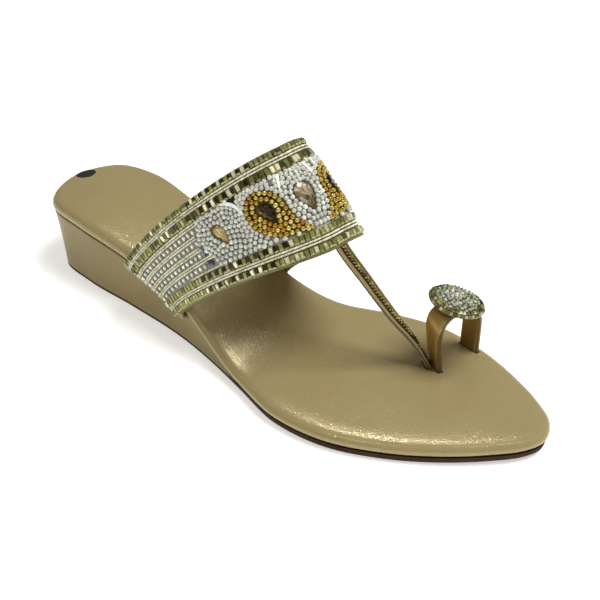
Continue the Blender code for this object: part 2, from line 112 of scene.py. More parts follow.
# slots in the footbed: x, y, width, thickness, turn
CUTS = ((195.8, 16.4, 10.1, 2.7, -33.0), (192.9, 14.3, 6.5, 2.8, -36.0), (199.0, 35.8, 10.1, 2.7, -10.0))
SPAN_STEPS, EDGE_STEPS, ROLL_STEPS, BED_CROSS = 16, 240, 18, 28    # round, along, over the rim and across the sole
BAND_LENGTH, BAND_WIDTH = 190.5, 44.0    # the band's own ruler, from its lateral foot and from its back edge
BAND_ALONG, BAND_ACROSS, ARCH_STEPS, MARGIN_STEPS = 260, 24, 161, 12
FACE_POINTS, TURN_POINTS = BAND_ACROSS + 1, 5    # in a ring round the band: across a face, and round a turned edge
TURN_FLATNESS = 0.7
LEATHER_OUT, LEATHER_IN = 0.55, 1.0    # band leather outside and inside the middle of its wall
BORDER_B = (9.2, 34.8)    # the borders lie outside these, the pearls and crystals between them
LABEL_MIDDLE = (2.6, -0.7)    # along the heel edge towards the big toe, and down from the flat
LABEL_STEPS, LABEL_RINGS = 40, 7
LABEL_FACES, LABEL_EDGE = (0.28, -0.2), 0.4    # its top and underside over the rim, and its edge in times that


# ---------------------------------------------------------------- curves

def column(rows, index):
    return np.array([row[index] for row in rows], dtype=float)


def unit(vectors):
    return vectors / np.linalg.norm(vectors, axis=-1, keepdims=True)


def ease(x, start, end):
    """Rises smoothly from 0 to 1 between start and end."""
    t = np.clip((x - start) / (end - start), 0.0, 1.0)
    return t * t * (3 - 2 * t)


def soft_table(rows, x, index=1):
    """Read a table's column at x along a smooth curve that never overshoots its rows."""
    xs, ys = column(rows, 0), column(rows, index)
    steps = np.diff(xs)
    slopes = np.diff(ys) / steps
    before, after = slopes[:-1], slopes[1:]
    both = before * after > 0
    inner = np.where(both, 2 * before * after / np.where(both, before + after, 1.0), 0.0)
    ends = np.concatenate([slopes[:1], inner, slopes[-1:]])
    x = np.clip(x, xs[0], xs[-1])
    i = np.clip(np.searchsorted(xs, x, side="right") - 1, 0, len(steps) - 1)
    t = (x - xs[i]) / steps[i]
    return ((2 * t ** 3 - 3 * t ** 2 + 1) * ys[i] + (t ** 3 - 2 * t ** 2 + t) * steps[i] * ends[i]
            + (3 * t ** 2 - 2 * t ** 3) * ys[i + 1] + (t ** 3 - t ** 2) * steps[i] * ends[i + 1])


def smooth_path(points, per_span=12, closed=False):
    """A centripetal Catmull-Rom curve through the points."""
    points = np.asarray(points, dtype=float)
    if closed:
        points = np.vstack([points[-1:], points, points[:2]])
    else:
        points = np.vstack([2 * points[0] - points[1], points, 2 * points[-1] - points[-2]])

    def mix(t, start, end, a, b):
        return (end - t) / (end - start) * a + (t - start) / (end - start) * b

    curve = []
    for four in zip(points, points[1:], points[2:], points[3:]):
        at = [0.0]
        for a, b in zip(four, four[1:]):
            at.append(at[-1] + math.sqrt(np.linalg.norm(b - a)))
        for t in np.linspace(at[1], at[2], per_span, endpoint=False):
            first = [mix(t, at[k], at[k + 1], four[k], four[k + 1]) for k in range(3)]
            second = [mix(t, at[k], at[k + 2], first[k], first[k + 1]) for k in range(2)]
            curve.append(mix(t, at[1], at[2], *second))
    return np.array([*curve, points[-2]])


def run_of(path):
    """Length along a path up to each of its points."""
    return np.concatenate([[0.0], np.cumsum(np.linalg.norm(np.diff(path, axis=0), axis=1))])


def read_path(path, marks, at):
    """Points of a path where its marks say at."""
    return np.stack([np.interp(at, marks, path[:, k]) for k in range(path.shape[1])], axis=-1)


def even_steps(path, steps):
    """The path's points, respaced evenly along its length."""
    run = run_of(path)
    return read_path(path, run, np.linspace(0.0, run[-1], steps + 1))


def turned(points, degrees):
    """Plan points turned about the origin."""
    c, s = math.cos(math.radians(degrees)), math.sin(math.radians(degrees))
    x, y = points[..., 0], points[..., 1]
    return np.stack([x * c - y * s, x * s + y * c], axis=-1)


def around_circle(count, start=0.0):
    return np.linspace(0.0, 2 * math.pi, count, endpoint=False) + start


def edge_curve(side):
    """Plan of one edge of the sole from heel to toe, with its outward normals."""
    loop = smooth_path(OUTLINE, SPAN_STEPS, closed=True)
    tip = TIP * SPAN_STEPS
    path = even_steps(loop[:tip + 1] if side == "lateral" else loop[tip:][::-1], EDGE_STEPS)
    tangent = np.gradient(path, axis=0)
    turn = -1.0 if side == "lateral" else 1.0
    tangent[0], tangent[-1] = (0.0, turn), (0.0, -turn)
    tangent = unit(tangent)
    return path, -turn * np.column_stack([tangent[:, 1], -tangent[:, 0]])


EDGES = {side: edge_curve(side) for side in ("lateral", "medial")}


def floor_rise(x):
    spring = TOE_SPRING * (np.clip(x - TOE_SPRING_START, 0, None) / (TOE_X - TOE_SPRING_START)) ** 2
    along = np.clip((x - ARCH_X[0]) / (ARCH_X[1] - ARCH_X[0]), 0.0, 1.0)
    return spring + ARCH_LIFT * np.sin(np.pi * along) ** 2


def rubber_top(x):
    return floor_rise(x) + HEEL_RUBBER + (FOREFOOT_RUBBER - GAP - HEEL_RUBBER) * ease(x, *RUBBER_RAMP_X)


def seam_height(x):
    return floor_rise(x) + FOREFOOT_RUBBER + soft_table(WEDGE_HEIGHT, x)


def at_edge(side, x, inset=0.0):
    path, normal = (rows[:int(np.argmax(EDGES[side][0][:, 0])) + 1] for rows in EDGES[side])
    return read_path(path, path[:, 0], x) - inset * read_path(normal, path[:, 0], x)


# ---------------------------------------------------------------- meshes

def placed(points):
    """Points of the last, in the part's frame and in metres."""
    return (np.asarray(points, dtype=float) - LAST_ORIGIN) * MM


def grid(rows, columns, wrap=False, start=0):
    """Quads between rows of points that are stored one row after another."""
    span = columns if wrap else columns - 1
    return [(start + r * columns + c, start + r * columns + (c + 1) % columns,
             start + (r + 1) * columns + (c + 1) % columns, start + (r + 1) * columns + c)
            for r in range(rows - 1) for c in range(span)]


def tube(rows, around):
    """Faces of a tube of rings that is closed at both ends."""
    return grid(rows, around, wrap=True) + [tuple(range(around)), tuple(range((rows - 1) * around, rows * around))]


def solid(name, points, faces, flat=False, sharp=True):
    """A closed mesh through points in metres, with its doubles merged and its faces turned outwards."""
    mesh = bpy.data.meshes.new(name)
    mesh.from_pydata(np.asarray(points).tolist(), [], faces)
    bm = bmesh.new()
    bm.from_mesh(mesh)
    bmesh.ops.remove_doubles(bm, verts=bm.verts, dist=1e-7)
    bmesh.ops.recalc_face_normals(bm, faces=bm.faces)
    bm.to_mesh(mesh)
    bm.free()
    if flat:
        mesh.shade_flat()
    else:
        mesh.shade_smooth()
        if sharp:
            mesh.set_sharp_from_angle(angle=SHARP)
    return mesh


def last_solid(name, points, faces, flat=False):
    """A closed mesh through points of the last."""
    return solid(name, placed(points), faces, flat)


def linked(name, data):
    """A new object in the scene."""
    made = bpy.data.objects.new(name, data)
    bpy.context.scene.collection.objects.link(made)
    return made


def drop(*objects):
    for used in objects:
        bpy.data.objects.remove(used)


def show(name, mesh, finish, slot, *nodes):
    """Put a finished piece in the scene, on its body, in its material slot and in place of CAD nodes."""
    made = linked(name, mesh)
    if finish is not None:
        finish.cover(made)
    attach(made, "root")
    if nodes:
        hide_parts(*nodes)
    return made


def mark(mesh, name, values):
    """Store a value for each vertex."""
    mesh.attributes.new(name, "FLOAT", "POINT").data.foreach_set("value", np.asarray(values, dtype=np.float32))


def mark_crease(mesh, depth):
    """Store how deep in a seam or fold each vertex lies, for its finish to darken."""
    flat = np.zeros(len(mesh.vertices) * 3)
    mesh.vertices.foreach_get("co", flat)
    mark(mesh, "crease", np.clip(depth(flat.reshape(-1, 3) / MM + LAST_ORIGIN), 0.0, 1.0))


def sweep(path, side, up, profile, closed=False):
    """Points and faces of a closed profile carried along a path. profile is (across, height) rows."""
    rings = path[:, None] + profile[None, :, :1] * side[:, None] + profile[None, :, 1:] * up[:, None]
    count, around = rings.shape[:2]
    if not closed:
        return rings.reshape(-1, 3), tube(count, around)
    last = (count - 1) * around
    seam = [(last + c, last + (c + 1) % around, (c + 1) % around, c) for c in range(around)]
    return rings.reshape(-1, 3), grid(count, around, wrap=True) + seam


def joined(*parts):
    """Several (points, faces) as one."""
    points, faces, start = [], [], 0
    for some, theirs in parts:
        points.append(some)
        faces += [tuple(i + start for i in face) for face in theirs]
        start += len(some)
    return np.vstack(points), faces


def round_profile(radius, count):
    turn = around_circle(count)
    return np.column_stack([np.cos(turn) * radius, np.sin(turn) * radius])


# ---------------------------------------------------------------- nodes

class Wire:
    """An output socket that can stand in an expression."""

    def __init__(self, bench, socket):
        self.bench, self.socket = bench, socket

    def math(self, operation, swapped, other):
        first, second = (other, self) if swapped else (self, other)
        return self.bench.node("ShaderNodeMath", {"operation": operation}, {0: first, 1: second})

    __add__ = functools.partialmethod(math, "ADD", False)
    __radd__ = functools.partialmethod(math, "ADD", True)
    __sub__ = functools.partialmethod(math, "SUBTRACT", False)
    __rsub__ = functools.partialmethod(math, "SUBTRACT", True)
    __mul__ = functools.partialmethod(math, "MULTIPLY", False)
    __rmul__ = functools.partialmethod(math, "MULTIPLY", True)


class Bench:
    """A node tree with one way to add a node to it."""

    def __init__(self, tree):
        self.tree = tree

    def feed(self, socket, value):
        if isinstance(value, Wire):
            self.tree.links.new(value.socket, socket)
        else:
            socket.default_value = value

    def node(self, kind, settings=None, sockets=None, output=0):
        made = self.tree.nodes.new(kind)
        for key, value in (settings or {}).items():
            if key == "stops":
                ramp = made.color_ramp
                while len(ramp.elements) < len(value):
                    ramp.elements.new(0.5)
                for element, (at, colour) in zip(ramp.elements, value):
                    element.position, element.color = at, (*colour, 1.0)
            else:
                setattr(made, key, value)
        for key, value in (sockets or {}).items():
            self.feed(made.inputs[key], value)
        return Wire(self, made.outputs[output])


class Finish(Bench):
    """A material: its shader's constants are set here, and what varies comes from expressions."""

    def __init__(self, name, colour, roughness, metallic=0.0, **constants):
        self.material = bpy.data.materials.new(name)
        self.material.use_nodes = True
        self.material.diffuse_color = (*colour, 1.0)
        super().__init__(self.material.node_tree)
        self.put("Base Color", (*colour, 1.0))
        self.put("Roughness", roughness)
        self.put("Metallic", metallic)
        for key, value in constants.items():
            self.put(key.replace("_", " ").title().replace("Ior", "IOR"), value)

    def cover(self, made):
        """Gives an object this finish alone."""
        made.data.materials.clear()
        made.data.materials.append(self.material)

    def put(self, socket, value):
        self.feed(self.tree.nodes["Principled BSDF"].inputs[socket], value)

    def noise(self, size_mm, detail=2.0, rough=0.5):
        """Noise on object coordinates, in clouds of size_mm."""
        at = self.node("ShaderNodeTexCoord", output="Object")
        scale = tuple(1000.0 / np.asarray(size_mm, dtype=float) * np.ones(3))
        at = self.node("ShaderNodeMapping", {}, {"Vector": at, "Scale": scale})
        return self.node("ShaderNodeTexNoise", {}, {"Vector": at, "Scale": 1.0, "Detail": detail, "Roughness": rough})

    def attribute(self, name):
        return self.node("ShaderNodeAttribute", {"attribute_name": name}, {}, "Fac")

    def spread(self, value, low, high, to_low=0.0, to_high=1.0):
        return self.node("ShaderNodeMapRange", {},
                         {"Value": value, "From Min": low, "From Max": high, "To Min": to_low, "To Max": to_high})

    def blend(self, share, first, second):
        """A colour between two colours."""
        pair = [(*colour, 1.0) if isinstance(colour, tuple) else colour for colour in (first, second)]
        return self.node("ShaderNodeMix", {"data_type": "RGBA"}, {0: share, 6: pair[0], 7: pair[1]}, 2)

    def cloud(self, value, colour, low, high):
        """A base colour that goes from darker to lighter with a value."""
        self.put("Base Color", self.blend(value, shade_of(colour, low), shade_of(colour, high)))

    def bump(self, height, depth_mm):
        pressed = self.node("ShaderNodeBump", {}, {"Height": height, "Distance": depth_mm * MM, "Strength": 1.0})
        self.put("Normal", pressed)


def shade_of(colour, factor):
    return tuple(min(1.0, c * factor) for c in colour)


FLAKE_COLOUR = (0.46, 0.38, 0.19)


def foil_leather(name, colour, roughness, metallic, grain_mm=0.7, depth_mm=0.03, mottle=0.06, sparkle=0.0,
                 **constants):
    """Metallic foil on leather: soft patches, a fine pebble and fine flakes that catch the lamps."""
    leather = Finish(name, colour, roughness, metallic, **constants)
    patches = leather.noise(16.0, 3.0)
    grain = leather.noise(grain_mm, 3.0, 0.65)
    tint = leather.blend(leather.spread(patches, 0.3, 0.7), shade_of(colour, 1 - mottle), shade_of(colour, 1 + mottle))
    flakes = leather.spread(leather.noise(grain_mm * 0.9, 1.0), 0.5, 0.58) * sparkle
    if sparkle:
        tint = leather.blend(flakes, tint, FLAKE_COLOUR)
    # painted shade: where the mesh marks it, the colour is darkened and the metal taken away
    crease = leather.attribute("crease")
    leather.put("Base Color", leather.blend(crease, tint, shade_of(colour, 0.16)))
    leather.put("Roughness", roughness + (patches - 0.5) * 0.06 - flakes * 0.65)
    leather.put("Metallic", (metallic + flakes * 0.3) * (1.0 - crease))
    leather.bump(grain, depth_mm)
    return leather


# ---------------------------------------------------------------- sole

def sole_levels(levels, top, bottom, cross, last_x=None):
    """Points and faces of a layer of the sole: edge levels from the lowest to the highest, then two caps."""
    across = np.linspace(0.0, 1.0, cross + 1)[:, None]

    def sheet(a, b, *caps):
        """A sheet from the lateral to the medial side, whose rows at caps follow a surface."""
        rows = a[:, None] * (1 - across) + b[:, None] * across
        for row, height in caps:
            rows[row, 1:-1, 2] = height(rows[row, 1:-1], 2 * across[1:-1, 0] - 1)
        return rows.reshape(-1, 3), grid(*rows.shape[:2])

    sides = []
    for side in ("lateral", "medial"):
        path, normal = EDGES[side]
        rows = []
        for inset, height in levels:
            plan = path - inset(path[:, 0])[:, None] * normal
            if last_x is not None:
                body = plan[:int(np.argmax(plan[:, 0]))]
                end = last_x, np.interp(last_x, body[:, 0], body[:, 1])
                plan = even_steps(np.vstack([body[body[:, 0] < last_x], end]), EDGE_STEPS // 2)
            rows.append(np.column_stack([plan, height(plan[:, 0])]))
        sides.append(np.array(rows))
    left, right = sides
    right[:, 0] = left[:, 0]
    if last_x is None:
        right[:, -1] = left[:, -1]
    parts = [(side.reshape(-1, 3), grid(*side.shape[:2])) for side in sides]
    parts += [sheet(left[level], right[level], (slice(None), height)) for level, height in ((0, bottom), (-1, top))]
    if last_x is not None:
        parts.append(sheet(left[:, -1], right[:, -1], (0, bottom), (-1, top)))
    return joined(*parts)


def wall_level(edge, low, high, share, extra, rise=0.0, bow=0.0):
    """Inset and height of one level of a layer's side: share is how far up it is, and extra how far in."""
    edges = [column(EDGE_INSET, k) for k in (0, edge, edge + 1)]

    def inset(x):
        at_low, at_high = (np.interp(x, edges[0], values) for values in edges[1:])
        return at_low * (1 - share) + at_high * share + extra + bow * math.sin(math.pi * share)

    return inset, lambda x: low(x) * (1 - share) + high(x) * share + rise


# levels up a side: share, extra and rise
RUBBER_LEVELS = ((0.0, 0.6), (0.0, 0.25, 0.12), (0.0, 0.04, 0.35), (0.35, 0.0), (0.62, 0.0), (0.68, 0.16), (0.74, 0.0),
                 (0.93, 0.0), (1.0, 0.15))
WEDGE_LEVELS = ((0.0, 0.25), (0.03, 0.02), (0.15, 0.0), (0.3, 0.0), (0.45, 0.0), (0.6, 0.0), (0.75, 0.0), (0.88, 0.0),
                (0.95, -0.05), (0.985, 0.02), (1.0, 0.45))
WEDGE_BOW = 0.35
RIB_SQUARENESS, RIB_END, RIB_FADE = 1.6, 0.86, 0.05    # ribs stop short of the sole's edge, in times its half width
WEDGE_SEAM_SHADE, BED_SEAM_SHADE = 0.3, 0.55    # how far the seam's shade reaches over the cover and the footbed
SLOT_REACH = 4.0    # how far round a strap slot the padding is drawn down
KNIFE_Z = (-12.0, 28.0)


def make_outsole(want):
    """Rubber unit with a rounded tread edge, a fine groove round its side and shallow cross ribs below"""
    def bottom(p, across):
        wave = np.clip(np.sin(p[..., 0] * 2 * np.pi / want.tread_pitch) * RIB_SQUARENESS, -1, 1) * 0.5 + 0.5
        return floor_rise(p[..., 0]) + want.tread_depth * wave * np.clip((RIB_END - np.abs(across)) / RIB_FADE, 0, 1)

    levels = [wall_level(FLOOR_EDGE, floor_rise, rubber_top, *level) for level in RUBBER_LEVELS]
    shape = sole_levels(levels, lambda p, across: rubber_top(p[..., 0]), bottom, BED_CROSS)
    finish = Finish("sole_rubber", want.rubber_colour, roughness=0.7, specular_ior_level=0.1)
    cloud = finish.noise(9.0, 3.0)
    pores = finish.noise((1.6, 1.6, 0.5), 3.0, 0.7)
    finish.cloud(finish.spread(cloud * 0.6 + pores * 0.4, 0.3, 0.7), want.rubber_colour, 0.7, 1.35)
    finish.put("Roughness", 0.52 + pores * 0.2)
    finish.bump(pores, 0.06)
    show("outsole_rubber", last_solid("outsole_rubber", *shape), finish, "sole_rubber", "outsole")


def make_wedge(want):
    """Wedge in its gold cover: the cover is turned over the top edge and stands a little proud of it"""
    def low(x):
        return rubber_top(x) + GAP * 0.2

    def high(x):
        return seam_height(x) - GAP

    levels = [wall_level(RUBBER_EDGE, low, high, *level, bow=WEDGE_BOW) for level in WEDGE_LEVELS]
    shape = sole_levels(levels, lambda p, across: high(p[..., 0]), lambda p, across: low(p[..., 0]), 8, WEDGE_END_X)
    mesh = last_solid("wedge_cover", *shape)
    # painted shade along the seam at the top of the cover
    mark_crease(mesh, lambda p: 1.0 - (high(p[:, 0]) - p[:, 2]) / WEDGE_SEAM_SHADE)
    finish = foil_leather("gold_cover", want.cover_colour, roughness=0.36, metallic=0.18, grain_mm=0.9, depth_mm=0.07,
                          mottle=0.04, sparkle=0.05, specular_ior_level=0.3)
    show("wedge_cover", mesh, finish, "gold_cover", "wedge")


def slot_pull(points):
    """How far the padding is drawn down round the strap slots."""
    pull = np.zeros(points.shape[:-1])
    for x, y, width, _, turn in CUTS[::2]:
        near = turned(points[..., :2] - (x, y), -turn)
        away_from = np.hypot(np.clip(np.abs(near[..., 0]) - width / 2, 0, None), near[..., 1])
        pull += np.exp(-(away_from / SLOT_REACH) ** 2)
    return pull


def make_footbed(want):
    """Padded footbed: rolled rim, faint welt line inside it, crowned middle and slots for the toe loop"""
    def level(fore, heel):
        def mix(x, k):
            return heel[k] + (fore[k] - heel[k]) * ease(x, *HEEL_RIM_X)
        return lambda x: mix(x, 0), lambda x: seam_height(x) + mix(x, 1)

    def top(p, across):
        run_out = np.clip(np.minimum(p[..., 0] - CROWN_X[0], CROWN_X[1] - p[..., 0]) / CROWN_RUN_OUT, 0.0, 1.0)
        crown = FOOTBED_CROWN * run_out * (2 - run_out) * (1 - across ** 2)
        return seam_height(p[..., 0]) + RIM[-1][1] + crown - want.slot_dimple * slot_pull(p)

    levels = [level(*pair) for pair in zip(*(even_steps(smooth_path(rim, 8), ROLL_STEPS) for rim in (RIM, HEEL_RIM)))]
    shape = sole_levels(levels, top, lambda p, across: seam_height(p[..., 0]), BED_CROSS)
    blank = linked("blank", last_solid("padded_footbed", *shape))
    knives = []
    for x, y, width, thickness, turn in CUTS:
        corners = np.array([(-1, -1), (1, -1), (1, 1), (-1, 1)]) * (width / 2, thickness / 2)
        ring = turned(corners, turn) + (x, y)
        knife = linked("knife", last_solid("knife", [(*p, z) for z in KNIFE_Z for p in ring], tube(2, 4), True))
        cut = blank.modifiers.new("slot", "BOOLEAN")
        cut.operation, cut.solver, cut.object = "DIFFERENCE", "EXACT", knife
        knives.append(knife)
    graph = bpy.context.evaluated_depsgraph_get()
    mesh = bpy.data.meshes.new_from_object(blank.evaluated_get(graph))
    drop(blank, *knives)
    mesh.set_sharp_from_angle(angle=SHARP)
    # painted shade along the seam at the foot of the footbed
    mark_crease(mesh, lambda p: 1.0 - (p[:, 2] - seam_height(p[:, 0])) / BED_SEAM_SHADE)
    finish = foil_leather("gold_footbed", want.footbed_colour, roughness=0.27, metallic=0.13, grain_mm=0.85,
                          depth_mm=0.10, mottle=0.03, sparkle=0.3, specular_ior_level=0.3)
    bed = show("padded_footbed", mesh, finish, "gold_footbed", "footbed")


def make_heel_label(want):
    """Thin dark oval, left plain, stuck over the back of the footbed's rim"""
    rim = smooth_path(HEEL_RIM, 8)
    middle = run_of(rim)[-1] - LABEL_MIDDLE[1]
    rim = np.vstack([rim, rim[-1] + (12.0, 0.15)])    # the rim runs on over the flat of the footbed
    rim_run, edge_run = run_of(rim), run_of(EDGES["medial"][0])

    def over_rim(along, mark_at, lift):
        """A point that far along the edge from the heel's middle, and that far up over the rim."""
        side, run = ("medial", along) if along >= 0 else ("lateral", -along)
        at, out = (read_path(rows, edge_run, run) for rows in EDGES[side])
        low, high = (read_path(rim, rim_run, m) for m in (max(mark_at - 0.3, 0), min(mark_at + 0.3, rim_run[-1])))
        slope = unit(high - low)
        inset, rise = read_path(rim, rim_run, mark_at) + np.array([-slope[1], slope[0]]) * lift
        x, y = at - inset * out
        return x, y, float(seam_height(x)) + rise

    shares = np.linspace(0.0, 1.0, LABEL_RINGS)
    levels = [(share, LABEL_FACES[0]) for share in shares] + [(share, LABEL_FACES[1]) for share in shares[::-1]]
    points = [over_rim(LABEL_MIDDLE[0] + want.label_width / 2 * share * math.cos(t),
                       middle + want.label_height / 2 * share * math.sin(t), lift * (1.0 if share < 1 else LABEL_EDGE))
              for share, lift in levels for t in around_circle(LABEL_STEPS)]
    mesh = last_solid("heel_label", points, tube(len(levels), LABEL_STEPS))
    finish = Finish("label_film", (0.02, 0.022, 0.014), roughness=0.65, specular_ior_level=0.2)
    film = finish.noise(2.5, 2.0)
    finish.put("Base Color", finish.blend(film, (0.006, 0.007, 0.004), (0.035, 0.035, 0.02)))
    finish.put("Roughness", 0.6 + film * 0.15)
    show("heel_label", mesh, finish, "gold_footbed")


# ---------------------------------------------------------------- instep band

def band_foot(side, x):
    """The band's middle line from the end of its margin, under the footbed, to the start of its arch."""
    stand = GAP + WALL / 2

    def margin_point(inset, lift=0.0):
        x_in, y_in = at_edge(side, x, inset)
        return x_in, y_in, float(seam_height(x_in)) - MARGIN_PLAY - WALL / 2 + lift

    upright, under = at_edge(side, x, -stand), margin_point(0.0)[2]
    return [margin_point(MARGIN), margin_point(MARGIN_BEND), margin_point(MARGIN_CORNER - stand, MARGIN_CORNER),
            *((*upright, under + rise) for rise in FOOT_RISE)]


def band_row(share):
    """The band's middle line at one share of its width: lateral margin, arch, medial margin."""
    back, front = np.array(BAND_EDGES)
    lateral_x, medial_x, crest_x, crest_z, shift = back + (front - back) * share
    lateral, medial = band_foot("lateral", lateral_x), band_foot("medial", medial_x)
    start, end = np.array(lateral[-1]), np.array(medial[-1])
    middle, reach = (start + end) / 2, end - start
    turn = np.linspace(0.0, math.pi, ARCH_STEPS)[1:-1]
    sine, cosine = np.sin(turn), np.cos(turn)
    rise = sine ** BAND_ROUNDNESS
    base = start + reach * ((1 - cosine) / 2)[:, None]
    x = base[:, 0] + (crest_x - middle[0]) * sine ** BAND_LEAN
    y = middle[1] - reach[1] / 2 * np.sign(cosine) * np.abs(cosine) ** BAND_ROUNDNESS + shift * sine
    z = base[:, 2] + (crest_z - middle[2]) * rise
    bulge = BAND_BULGE * 4 * share * (1 - share) * sine
    arch = np.column_stack([x, y, z]) + bulge[:, None] * np.column_stack([rise, -cosine, rise]) * BULGE_WAY
    near, far = smooth_path(lateral, 6), smooth_path(medial, 6)[::-1]
    return near, even_steps(np.vstack([near[-1:], arch, far[:1]]), BAND_ALONG), far


class Band:
    """The middle of the band's wall, read on the band's own ruler: a along it and b across it."""

    def __init__(self):
        rows = [band_row(share) for share in np.linspace(0.0, 1.0, BAND_ACROSS + 1)]
        self.arch = np.array([arch for _, arch, _ in rows])
        margins = [np.array([even_steps(row[k], MARGIN_STEPS) for row in rows]) for k in (0, 2)]
        self.margin = margins[0].shape[1] - 1
        self.full = np.concatenate([margins[0][:, :-1], self.arch, margins[1][:, 1:]], axis=1)
        self.arch_out, self.full_out = self.outward(self.arch), self.outward(self.full)

    @staticmethod
    def outward(rows):
        out = unit(np.cross(np.gradient(rows, axis=0), np.gradient(rows, axis=1)))
        i, j = rows.shape[0] // 2, rows.shape[1] // 2
        return out * np.sign(out[i, j] @ (rows[i, j] - rows[i, 0]))

    @staticmethod
    def read(field, a, b):
        """A field of the band at points of its ruler, which runs straight on below both feet."""
        across = np.clip(np.asarray(b, dtype=float) / BAND_WIDTH, 0, 1) * BAND_ACROSS
        along = np.asarray(a, dtype=float) / BAND_LENGTH * BAND_ALONG
        i = np.minimum(across.astype(int), BAND_ACROSS - 1)
        j = np.clip(along.astype(int), 0, BAND_ALONG - 1)
        s, t = (across - i)[..., None], (along - j)[..., None]
        return ((field[i, j] * (1 - t) + field[i, j + 1] * t) * (1 - s)
                + (field[i + 1, j] * (1 - t) + field[i + 1, j + 1] * t) * s)

    def at(self, plan, lift=0.0):
        """Points that stand lift above the middle of the wall."""
        return self.read(self.arch, *plan.T) + self.read(self.arch_out, *plan.T) * lift

    def up(self, plan):
        return unit(self.read(self.arch_out, *plan.T))


BAND = Band()
MOTIF_GROUND = (0.10, 0.065, 0.012)
LINING, BORDER = 1, 2    # the band's materials after the first


def backing(name, colour, motif=None):
    """Foil cloth under the beads, paler below the pearls and in another colour below the curled motifs."""
    cloth = Finish(name, colour, roughness=0.5, metallic=0.2)
    patches = cloth.noise(6.0, 3.0)
    thread = cloth.noise(0.5, 2.0)
    ground = cloth.blend(patches * 0.6 + thread * 0.4, shade_of(colour, 0.6), shade_of(colour, 1.3))
    if motif is not None:
        # painted light: paler below the pearls, lifting the shade in the gaps between them
        ground = cloth.blend(cloth.attribute("pearled") * 0.8, ground, shade_of(colour, 2.1))
        ground = cloth.blend(cloth.attribute("motif"), ground, motif)
    cloth.put("Base Color", ground)
    cloth.put("Roughness", 0.42 + thread * 0.2)
    cloth.bump(thread, 0.05)
    return cloth


def band_shell():
    """Rings of points round the band's leather, from margin to margin, and its faces, the walls before the ends."""
    rows, out = BAND.full.swapaxes(0, 1), BAND.full_out.swapaxes(0, 1)
    edge = unit(np.gradient(rows, axis=1))
    radius, centre = (LEATHER_OUT + LEATHER_IN) / 2, (LEATHER_OUT - LEATHER_IN) / 2
    turn = np.linspace(0, math.pi, TURN_POINTS + 2)[1:-1, None]
    front, back = (rows[:, end] + out[:, end] * centre + edge[:, end] * way * radius * np.sin(turn) * TURN_FLATNESS
                   + out[:, end] * radius * np.cos(turn) * way for end, way in (([-1], 1.0), ([0], -1.0)))
    rings = np.concatenate([rows + out * LEATHER_OUT, front, (rows - out * LEATHER_IN)[:, ::-1], back], axis=1)
    count, around = rings.shape[:2]
    faces = grid(count, around, wrap=True)
    for start in (0, (count - 1) * around):
        inner = start + FACE_POINTS + TURN_POINTS
        far = inner + BAND_ACROSS
        faces += [(start + k, start + k + 1, far - 1 - k, far - k) for k in range(BAND_ACROSS)]
        faces += [tuple(range(start + BAND_ACROSS, inner + 1)), (*range(far, start + around), start)]
    return rings, faces


def make_band(want):
    """Band leather from margin to margin, with a turned edge at the back and at the front, and its lining"""
    rings, faces = band_shell()
    count, around = rings.shape[:2]
    mesh = last_solid("band_leather", rings.reshape(-1, 3), faces)
    along = (np.arange(count) - BAND.margin) / BAND_ALONG * BAND_LENGTH
    across = np.linspace(0.0, BAND_WIDTH, FACE_POINTS)
    ruler = np.stack(np.meshgrid(along, across, indexing="ij"), axis=-1).reshape(-1, 2)

    def mark_outside(name, values):
        marks = np.zeros((count, around))
        marks[:, :FACE_POINTS] = values.reshape(count, FACE_POINTS)
        mark(mesh, name, marks.ravel())

    zones = (want.design.gold_zone, mirrored(want.design.gold_zone))
    depths = [away(ruler, zone) * np.where(inside(ruler, zone), 1.0, -1.0) for zone in zones]
    mark_outside("motif", sum(np.clip(0.6 + depth / 1.6, 0.0, 1.0) for depth in depths))
    # painted light below the pearls, for the gaps between them
    mark_outside("pearled", np.clip((nearer(ruler[:, 0]) - field_start(ruler[:, 1])) / 1.5, 0.0, 1.0))
    band = show("band_leather", mesh, backing("pearl_backing", want.backing_colour, MOTIF_GROUND), "beaded_leather",
                "upper")
    band.data.materials.append(foil_leather("band_lining", want.lining_colour, roughness=0.5, metallic=0.1).material)
    band.data.materials.append(backing("border_backing", want.border_colour).material)
    low, high = (b / BAND_WIDTH * BAND_ACROSS for b in BORDER_B)
    for face in band.data.polygons[:(count - 1) * around]:
        j, c = divmod(face.index, around)
        inner = c - (FACE_POINTS + TURN_POINTS - 1)
        if 0 <= inner < FACE_POINTS or not BAND.margin <= j < BAND.margin + BAND_ALONG:
            face.material_index = LINING
        elif not low <= c < high:
            face.material_index = BORDER


# ---------------------------------------------------------------- beads

